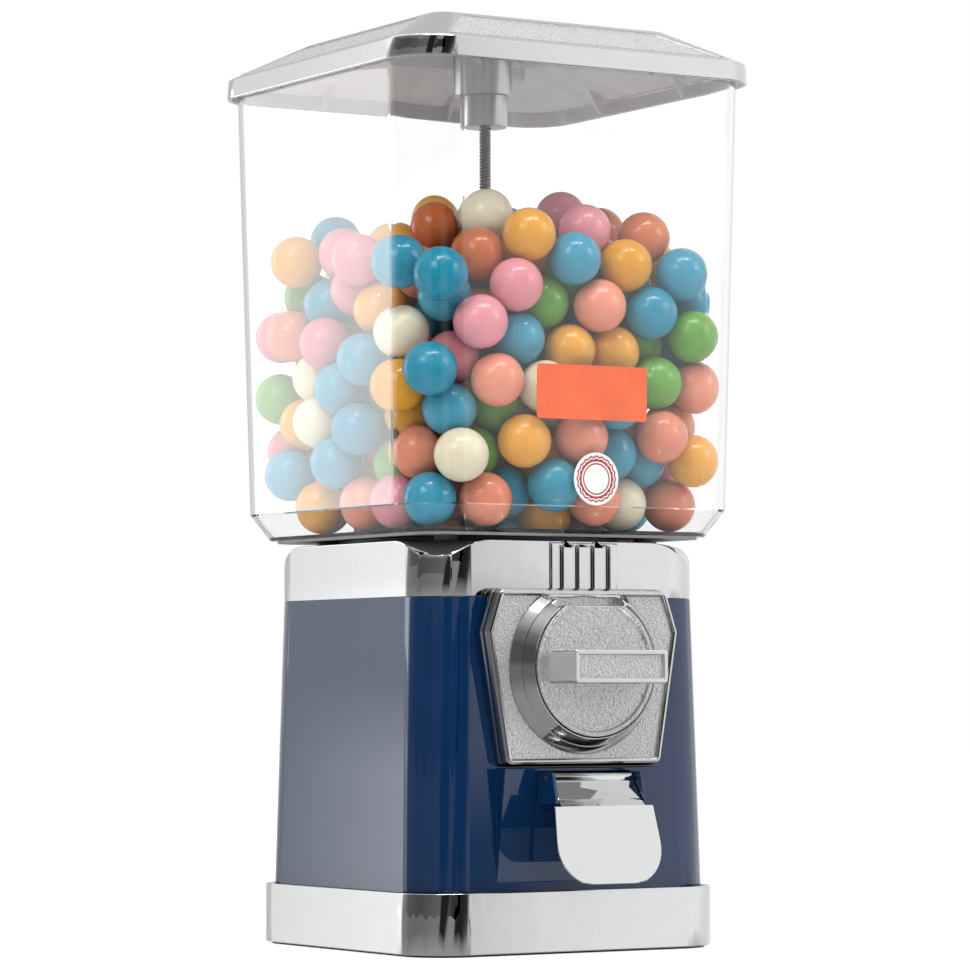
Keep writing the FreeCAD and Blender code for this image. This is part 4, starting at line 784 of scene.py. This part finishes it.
@dataclass
class Filling:
    """Gumballs in the globe and in the wheel."""

    radius: float = 12.5 * MM
    cell: float = 6.0 * MM
    uneven: float = 0.12 * MM
    # How far past its radius a ball's own points are looked for, and ripples over the uneven shell.
    search: float = 1.05
    ripples: float = 2.0
    level: int = 4
    seed: int = 5

    TONE = "ball_tone"

    def centres(self, node: str) -> list[Vector]:
        """Middle of each ball of a CAD node.

        Args:
            node: CAD node that holds loose balls.

        Returns:
            The middles, from lowest to highest.
        """
        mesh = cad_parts[node].data
        count = len(mesh.vertices)
        places = np.zeros(count * 3)
        normals = np.zeros(count * 3)
        mesh.vertices.foreach_get("co", places)
        mesh.vertices.foreach_get("normal", normals)
        places = places.reshape(-1, 3)
        inward = places - normals.reshape(-1, 3) * self.radius
        found: list[np.ndarray] = []
        keys, back = np.unique(np.round(inward / self.cell).astype(int), axis=0, return_inverse=True)
        back = back.ravel()
        for index in np.argsort(-np.bincount(back, minlength=len(keys))):
            middle = inward[back == index].mean(0)
            if all(np.linalg.norm(middle - other) > self.radius for other in found):
                found.append(middle)
        kept = []
        for middle in found:
            own = places[np.linalg.norm(places - middle, axis=1) < self.radius * self.search]
            if len(own):
                kept.append(Vector((own.min(0) + own.max(0)) / 2))
        return sorted(kept, key=lambda middle: (middle.z, middle.x, middle.y))

    def build_colour(self, node: str, material: Material, body: str,
                     chance: random.Random) -> Piece:
        """Round, slightly uneven balls in place of a node's.

        Args:
            node: CAD node that the balls stand for.
            material: Sugar shell.
            body: CAD body that carries them.
            chance: Source of the small differences.

        Returns:
            The balls as one piece.
        """
        template = bmesh.new()
        bmesh.ops.create_icosphere(template, subdivisions=self.level, radius=1.0)
        unit = np.array([vertex.co for vertex in template.verts])
        sides = np.array([[vertex.index for vertex in face.verts] for face in template.faces])
        template.free()
        points, faces, tones = [], [], []
        for number, middle in enumerate(self.centres(node)):
            turn = Matrix.Rotation(chance.uniform(0, math.tau), 3, Vector((chance.uniform(-1, 1),
                                   chance.uniform(-1, 1), chance.uniform(0.1, 1))).normalized())
            waves = [chance.uniform(-1, 1) for _ in range(3)]
            swell = sum(wave * np.cos(self.ripples * unit[:, axis] + axis)
                        for axis, wave in enumerate(waves))
            radius = self.radius - self.uneven * (1 + swell / len(waves))
            points.append((unit * radius[:, None]) @ np.array(turn).T + np.array(middle))
            faces.append(sides + number * len(unit))
            tones.append(np.full(len(unit), chance.random()))
        mesh = bpy.data.meshes.new(f"{node}_shells")
        mesh.from_pydata(np.concatenate(points).tolist(), [], np.concatenate(faces).tolist())
        mesh.polygons.foreach_set("use_smooth", [True] * len(mesh.polygons))
        tone = mesh.attributes.new(self.TONE, "FLOAT", "POINT")
        tone.data.foreach_set("value", np.concatenate(tones))
        piece = add_piece(f"{node}_shells", mesh, body, [material])
        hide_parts(node)
        return piece

    def build(self) -> None:
        """Replace every CAD ball by its finished one."""
        chance = random.Random(self.seed)
        made = {candy: CandyFinish(candy).material() for candy in Candy}
        for candy in Candy:
            colour = candy.name.lower()
            self.build_colour(f"gumballs_{colour}", made[candy], "cabinet", chance)
        self.build_colour("wheel_gumballs", made[Candy.YELLOW], "wheel", chance)


@dataclass
class Globe:
    """Clear globe with its gasket, its pads and two blank labels on the sloping front."""

    clear: Material
    seal: Material
    fold: float = 204.0 * MM
    half_fold: float = 88.7 * MM
    plate_place: Pair = (2.5 * MM, 255.7 * MM)
    plate_half: Pair = (30.0 * MM, 12.5 * MM)
    plate_corner: float = 1.8 * MM
    corner_steps: int = 8
    seal_place: Pair = (5.0 * MM, 216.3 * MM)
    seal_radius: float = 12.1 * MM
    # Rings of the seal from its middle: outer radius, depth of the scallops and whether it is red.
    seal_rings: tuple[tuple[float, float, bool], ...] = (
        (6.6 * MM, 0.0, False), (7.3 * MM, 0.0, True), (8.0 * MM, 0.0, False), (9.2 * MM, 0.25 * MM, True),
        (9.8 * MM, 0.3 * MM, False), (10.6 * MM, 0.3 * MM, True))
    scallops: int = 20
    scallop_steps: int = 12
    sheet: float = 0.25 * MM
    lift: float = 0.03 * MM
    orange: MouldedFinish = MouldedFinish("orange_film", (0.84, 0.158, 0.064), 0.38)
    paper: MouldedFinish = MouldedFinish("white_film", (0.84, 0.83, 0.82), 0.38)
    ink: MouldedFinish = MouldedFinish("red_print", (0.36, 0.045, 0.050), 0.38)

    def front(self, across: float, level: float) -> Matrix:
        """Frame of a label on the globe's front face.

        Args:
            across: Middle of the label, sideways.
            level: Middle of the label above the ground.

        Returns:
            Matrix whose third axis points out of the globe.
        """
        low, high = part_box("globe")
        lean = (-low.y - self.half_fold) / (high.z - self.fold)
        up = Vector((0.0, -lean, 1.0)).normalized()
        side = Vector((1.0, 0.0, 0.0))
        out = side.cross(up)
        place = Vector((across, -self.half_fold - lean * (level - self.fold), level)) + out * self.lift
        return Matrix.Translation(place) @ Matrix((side, up, out)).transposed().to_4x4()

    def build_plate(self, finish: Material) -> Piece:
        """Bare rounded plate of printed film.

        Args:
            finish: Film's finish.

        Returns:
            The plate.
        """
        corner = self.plate_corner
        across, up = self.plate_half[0] - corner, self.plate_half[1] - corner
        outline = []
        for turn, (sign_x, sign_y) in enumerate(((1, 1), (-1, 1), (-1, -1), (1, -1))):
            for step in range(self.corner_steps + 1):
                angle = (turn + step / self.corner_steps) * math.pi / 2
                outline.append((sign_x * across + corner * math.cos(angle),
                                sign_y * up + corner * math.sin(angle)))
        count = len(outline)
        rim = 1.0 - self.sheet / (2 * self.plate_half[1])
        points = [(x, y, 0.0) for x, y in outline]
        points += [(x, y, self.sheet / 2) for x, y in outline]
        points += [(x * rim, y * rim, self.sheet) for x, y in outline]
        faces = [tuple(reversed(range(count))), tuple(range(2 * count, 3 * count))]
        for row in range(2):
            for index in range(count):
                ahead = (index + 1) % count
                faces.append((row * count + index, row * count + ahead,
                              (row + 1) * count + ahead, (row + 1) * count + index))
        mesh = bpy.data.meshes.new("front_label")
        mesh.from_pydata(points, [], faces)
        mesh.transform(self.front(*self.plate_place))
        return add_piece("front_label", mesh, "cabinet", [finish])

    def build_seal(self, paper: Material, ink: Material) -> Piece:
        """Round seal with a scalloped ring and a blank middle.

        Args:
            paper: White film.
            ink: Red print.

        Returns:
            The seal.
        """
        steps = self.scallops * self.scallop_steps
        edge = self.seal_radius - self.sheet / 2
        rows = [(radius, depth, self.sheet, red) for radius, depth, red in self.seal_rings]
        rows += [(edge, 0.0, self.sheet, False), (self.seal_radius, 0.0, self.sheet / 2, False),
                 (self.seal_radius, 0.0, 0.0, False)]
        points: list[tuple[float, float, float]] = [(0.0, 0.0, self.sheet)]
        faces: list[tuple[int, ...]] = []
        inks: list[int] = []
        for row, (radius, depth, level, red) in enumerate(rows):
            for step in range(steps):
                angle = math.tau * step / steps
                reach = radius + depth * math.cos(self.scallops * angle)
                points.append((reach * math.cos(angle), reach * math.sin(angle), level))
            for step in range(steps):
                here, ahead = 1 + row * steps + step, 1 + row * steps + (step + 1) % steps
                faces.append((0, here, ahead) if row == 0 else (here - steps, here, ahead, ahead - steps))
                inks.append(int(red))
        faces.append(tuple(reversed(range(1 + (len(rows) - 1) * steps, 1 + len(rows) * steps))))
        inks.append(0)
        mesh = bpy.data.meshes.new("round_seal")
        mesh.from_pydata(points, [], faces)
        mesh.transform(self.front(*self.seal_place))
        seal = add_piece("round_seal", mesh, "cabinet", [paper, ink])
        mesh.polygons.foreach_set("material_index", inks)
        return seal

    def build(self) -> None:
        """Dress the globe and stick its labels on."""
        dress("globe", self.clear)
        for name in ("globe_gasket", "globe_pads"):
            dress(name, self.seal)
        self.build_plate(self.orange.material())
        self.build_seal(self.paper.material(), self.ink.material())


class LidFinish(IntEnum):
    """Finishes of the lid's faces, in the order of its materials."""

    BRIGHT = 0
    SATIN = 1
    PEBBLED = 2
    BOSS = 3


@dataclass
class Lid:
    """Hipped lid with its lock: bright outside, pebbled on the sunk panels, satin underneath."""

    chrome: Material
    satin: Material
    boss: Material
    brass: Material
    boss_radius: float = 14.0 * MM
    rim: float = 9.3 * MM
    rise: float = 16.3 * MM
    draft: float = 0.4 * MM
    run: float = 32.5 * MM
    sunk: float = 0.3 * MM
    # Limits on a face's normal: upward for the inside and for a level top, sideways for a straight slope,
    # outward for the rim's outer faces and downward for its bottom.
    inner: float = 0.2
    level: float = 0.98
    straight: float = 0.02
    outward: float = 0.5
    down: float = 0.9
    edge: EdgeRound = EdgeRound(0.6 * MM)
    barrel_edge: EdgeRound = EdgeRound(0.4 * MM)
    pebbled: CastFinish = CastFinish("pebbled_lid", tint=(0.80, 0.80, 0.80), grain=1000.0)

    def kind(self, middle: Vector, normal: Vector, high: Vector) -> LidFinish:
        """Finish of one face of the lid.

        Args:
            middle: Middle of the face.
            normal: The way it looks.
            high: Highest corner of the lid's box.

        Returns:
            The face's finish.
        """
        half = high.x - self.draft
        rim_top = high.z - self.rise
        rim_low = rim_top - self.rim
        reach = max(abs(middle.x), abs(middle.y))
        if math.hypot(middle.x, middle.y) < self.boss_radius and normal.z < self.inner:
            return LidFinish.BOSS
        if middle.z < rim_top + self.sunk:
            outward = Vector((middle.x, middle.y, 0.0)).normalized().dot(normal)
            outer = reach > half - self.rim and outward > self.outward
            bottom = normal.z < -self.down and abs(middle.z - rim_low) < self.sunk
            return LidFinish.BRIGHT if outer or bottom else LidFinish.SATIN
        if normal.z < self.inner:
            return LidFinish.SATIN
        slope = Vector((0.0, self.run - self.draft, self.rise)).normalized()
        depth = (half - reach) * slope.z - (middle.z - rim_top) * slope.y
        straight = min(abs(normal.x), abs(normal.y)) < self.straight and normal.z < self.level
        return LidFinish.PEBBLED if depth > self.sunk and straight else LidFinish.BRIGHT

    def build(self) -> None:
        """Dress the lid and its lock."""
        dress("lid", self.chrome, self.edge)
        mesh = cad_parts["lid"].data
        for material in (self.satin, self.pebbled.material(), self.boss):
            mesh.materials.append(material)
        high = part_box("lid")[1]
        for face in mesh.polygons:
            face.material_index = self.kind(face.center, face.normal, high)
        dress("lock_barrel", self.boss, self.barrel_edge)
        dress("lock_plug", self.brass)


@dataclass(frozen=True)
class WallPanel:
    """Panel on the studio's wall that bright surfaces show, dark where its level is negative."""

    # Upward share of the directions at its foot and its head.
    low: float
    high: float
    # Degrees from the front, growing to the right, where it starts, is full and ends.
    start: float
    full: float
    end: float
    level: float
    # How softly its foot, its head and its end fade.
    foot: float = 0.006
    head: float = 0.022
    side: float = 2.0

    def brightness(self, graph: NodeGraph, turn: Socket, rise: Socket) -> Socket:
        """Brightness that the panel adds to the wall.

        Args:
            graph: The world's node tree.
            turn: Direction in radians from the front.
            rise: Upward share of the direction.

        Returns:
            The brightness.
        """
        shares = (graph.spread(turn, 1.0, 0.0, math.radians(self.end - self.side), math.radians(self.end)),
                  graph.spread(rise, 0.0, 1.0, self.low - self.foot, self.low),
                  graph.spread(rise, 1.0, 0.0, self.high, self.high + self.head))
        bright = graph.spread(turn, 0.0, self.level, math.radians(self.start), math.radians(self.full))
        for share in shares:
            bright = graph.math("MULTIPLY", bright, share)
        return bright


@dataclass(frozen=True)
class Lamp:
    """Soft lamp aimed at the middle of the machine."""

    name: str
    place: Place
    size: Pair
    power: float
    glint: bool = False
    target: Place = (0.0, 0.0, 0.2)

    def hang(self) -> None:
        """Put the lamp in the scene; glossy surfaces show it only where it gives a glint."""
        lamp = bpy.data.lights.new(self.name, "AREA")
        lamp.shape = "RECTANGLE"
        lamp.size, lamp.size_y = self.size
        lamp.energy = self.power
        holder = bpy.data.objects.new(self.name, lamp)
        holder.location = self.place
        aim = Vector(self.target) - Vector(self.place)
        holder.rotation_mode = "QUATERNION"
        holder.rotation_quaternion = aim.to_track_quat("-Z", "Y")
        holder.visible_glossy = self.glint
        bpy.context.scene.collection.objects.link(holder)


@dataclass
class Studio:
    """White surround, pale floor, soft lamps and the camera."""

    # Camera: degrees from the front, metres from the axis and over the ground, tilt and roll in degrees.
    azimuth: float = -31.56
    distance: float = 1.989
    height: float = 0.1177
    pitch: float = 2.861
    roll: float = -0.15
    lens: float = 155.55
    sensor: float = 36.0
    # Brightness of the even fill, and of the white that is seen through the globe.
    fill: float = 0.58
    behind: float = 1.12
    # Brightness round the room as metal sees it: degrees from the front, growing to the right.
    panorama: tuple[Pair, ...] = (
        (-180.0, 0.66), (-165.0, 0.75), (-157.0, 0.95), (-151.6, 1.05), (-149.3, 1.35), (-146.0, 1.4),
        (-140.0, 1.3), (-131.0, 0.30), (-120.0, 0.25), (-90.0, 0.20), (-44.0, 0.26), (-41.5, 0.03),
        (-26.0, 0.02), (-19.0, 0.32), (-9.0, 0.32), (-6.0, 0.02), (13.0, 0.03), (24.0, 0.45), (30.8, 0.74),
        (34.8, 1.17), (48.0, 1.20), (90.0, 1.0), (130.0, 0.95), (150.0, 0.66), (180.0, 0.66))
    panels: tuple[WallPanel, ...] = (
        WallPanel(-0.016, 0.006, -151.4, -149.2, -142.0, 1.15, foot=0.030),
        WallPanel(-0.040, 0.008, 24.0, 31.0, 33.8, -0.70),
        WallPanel(0.060, 0.450, -131.0, -122.0, -42.0, -0.10),
        WallPanel(0.060, 0.450, -24.0, -19.0, -4.0, -0.27))
    # Brightness above and below the walls, and the upward share of the directions where they blend.
    ceiling: float = 0.85
    ceiling_edge: Pair = (0.60, 0.85)
    ground: float = 0.40
    ground_edge: Pair = (-0.50, -0.20)
    # Glossy bounces past which a ray counts as thrown back by metal or paint.
    thrown: float = 0.5
    floor_radius: float = 6.0
    floor_sides: int = 96
    floor_gap: float = 0.2 * MM
    floor_tint: Colour = (0.92, 0.92, 0.92)
    # Share and brightness of the floor's own light, which keeps it white round the soft shadow.
    glow_share: float = 0.5
    glow: float = 1.62
    lamps: tuple[Lamp, ...] = (
        Lamp("lamp_left", (-1.6, -0.9, 1.5), (0.9, 0.9), 14.0),
        Lamp("lamp_right", (1.3, -1.6, 1.2), (0.9, 0.9), 9.0),
        Lamp("lamp_top", (0.1, 0.2, 1.9), (1.0, 1.0), 9.0),
        Lamp("lamp_glint", (-0.148, -0.64, 1.65), (1.2, 0.28), 13.0, glint=True),
        Lamp("lamp_wash", (-0.337, 0.437, 0.341), (0.17, 0.26), 0.23, glint=True))

    def build_camera(self) -> None:
        """Camera at the photograph's place, level across and tilted up a little."""
        turn = math.radians(self.azimuth)
        tilt = math.radians(self.pitch)
        camera = bpy.data.cameras.new("camera")
        camera.sensor_fit = "HORIZONTAL"
        camera.sensor_width = self.sensor
        camera.lens = self.lens
        holder = bpy.data.objects.new("camera", camera)
        bpy.context.scene.collection.objects.link(holder)
        holder.location = (math.sin(turn) * self.distance, -math.cos(turn) * self.distance, self.height)
        ahead = Vector((-math.sin(turn) * math.cos(tilt), math.cos(turn) * math.cos(tilt), math.sin(tilt)))
        holder.rotation_mode = "QUATERNION"
        roll = Quaternion((0.0, 0.0, 1.0), math.radians(self.roll))
        holder.rotation_quaternion = ahead.to_track_quat("-Z", "Y") @ roll
        bpy.context.scene.camera = holder

    def band(self, graph: NodeGraph, turn: Socket) -> Socket:
        """Brightness of the room's walls by direction.

        Args:
            graph: The world's node tree.
            turn: Direction in radians from the front.

        Returns:
            The brightness.
        """
        curve = graph.add("FloatCurve", Value=graph.spread(turn, 0.0, 1.0, -math.pi, math.pi))
        line = curve.mapping.curves[0]
        highest = max(level for _, level in self.panorama)
        last = len(self.panorama) - 1
        for index, (degrees, level) in enumerate(self.panorama):
            place = ((degrees + 180.0) / 360.0, level / highest)
            if index in (0, last):
                line.points[0 if index == 0 else -1].location = place
            else:
                line.points.new(*place)
        for point in line.points:
            point.handle_type = "AUTO_CLAMPED"
        curve.mapping.update()
        return graph.math("MULTIPLY", curve.outputs["Value"], highest)

    def build_world(self) -> None:
        """White to the eye and through glass, a banded studio to metal, and an even fill."""
        world = bpy.data.worlds.new("studio")
        bpy.context.scene.world = world
        world.cycles.sampling_method = "NONE"
        graph = NodeGraph(world)
        way = graph.add("SeparateXYZ", Vector=graph.add("TexCoord").outputs["Generated"]).outputs
        turn = graph.math("ARCTAN2", way["X"], graph.math("MULTIPLY", way["Y"], -1.0))
        above = graph.spread(way["Z"], 0.0, 1.0, *self.ceiling_edge)
        below = graph.spread(way["Z"], 1.0, 0.0, *self.ground_edge)
        walls = self.band(graph, turn)
        for panel in self.panels:
            walls = graph.math("ADD", walls, panel.brightness(graph, turn, way["Z"]))
        room = graph.blend(above, walls, self.ceiling)
        room = graph.blend(below, room, self.ground)
        path = graph.add("LightPath").outputs
        thrown = graph.math("GREATER_THAN", path["Glossy Depth"], self.thrown)
        clear = graph.math("MAXIMUM", path["Is Camera Ray"], path["Is Transmission Ray"])
        soft = graph.blend(path["Is Diffuse Ray"], room, self.fill)
        white = graph.blend(path["Is Transmission Ray"], 1.0, self.behind)
        seen = graph.blend(graph.math("SUBTRACT", clear, thrown), soft, white)
        shown = graph.add("Background", Color=(1.0, 1.0, 1.0), Strength=seen)
        graph.add("OutputWorld", Surface=shown.outputs[0])

    def build_floor(self) -> None:
        """Wide pale floor that keeps a soft shadow and shows metal the room beyond it."""
        plan = bmesh.new()
        bmesh.ops.create_circle(plan, cap_ends=True, segments=self.floor_sides, radius=self.floor_radius)
        mesh = bpy.data.meshes.new("floor")
        plan.to_mesh(mesh)
        plan.free()
        floor = bpy.data.objects.new("floor", mesh)
        floor.location.z = -self.floor_gap
        bpy.context.scene.collection.objects.link(floor)
        graph = ShaderGraph("pale_floor")
        path = graph.add("LightPath").outputs
        lit = graph.add("BsdfDiffuse", Color=self.floor_tint).outputs[0]
        glow = graph.add("Emission", Color=(1.0, 1.0, 1.0), Strength=self.glow).outputs[0]
        eye = graph.math("MAXIMUM", path["Is Camera Ray"], path["Is Transmission Ray"])
        thrown = graph.math("GREATER_THAN", path["Glossy Depth"], self.thrown)
        bright = graph.either(graph.math("MULTIPLY", eye, self.glow_share), lit, glow)
        shown = graph.either(thrown, bright, graph.add("BsdfTransparent").outputs[0])
        mesh.materials.append(graph.surface(shown))
        floor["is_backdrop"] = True

    def build(self) -> None:
        """Set up the whole studio."""
        self.build_camera()
        self.build_world()
        self.build_floor()
        for lamp in self.lamps:
            lamp.hang()
        bpy.context.scene.view_settings.view_transform = "Standard"
        LOG.info("studio ready")


def write_sizes() -> None:
    """Gather the CAD box and the finished model's box as lists; nothing keeps them."""
    boxes = {"cad": CAD_BOX, "visual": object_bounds()}
    {name: [list(corner) for corner in pair] for name, pair in boxes.items()}


def main() -> None:
    """Build every sub-assembly in order, then the studio."""
    logging.basicConfig(level=logging.INFO, format="%(name)s: %(message)s")
    chrome = ChromeFinish().material()
    steel = SteelFinish().material()
    brass = SteelFinish("turned_brass", (0.66, 0.47, 0.17), (0.52, 0.36, 0.12)).material()
    clear = ClearFinish().material()
    rubber = MouldedFinish("black_rubber", (0.018, 0.018, 0.018), 0.6).material()
    moulded = MouldedFinish("white_moulding", (0.72, 0.72, 0.70), 0.4).material()
    Cabinet(chrome, PaintFinish().material(), steel, rubber, moulded).build()
    CoinMechanism(steel, brass).build()
    Rod(steel).build()
    Globe(clear, MouldedFinish("grey_rubber", (0.20, 0.20, 0.205), 0.4).material()).build()
    boss = SatinFinish("satin_boss", (0.64, 0.64, 0.64), (0.58, 0.58, 0.585), 0.85, 0.32).material()
    Lid(chrome, SatinFinish().material(), boss, brass).build()
    Filling().build()
    Studio().build()
    write_sizes()


if __name__ == "__main__":
    main()
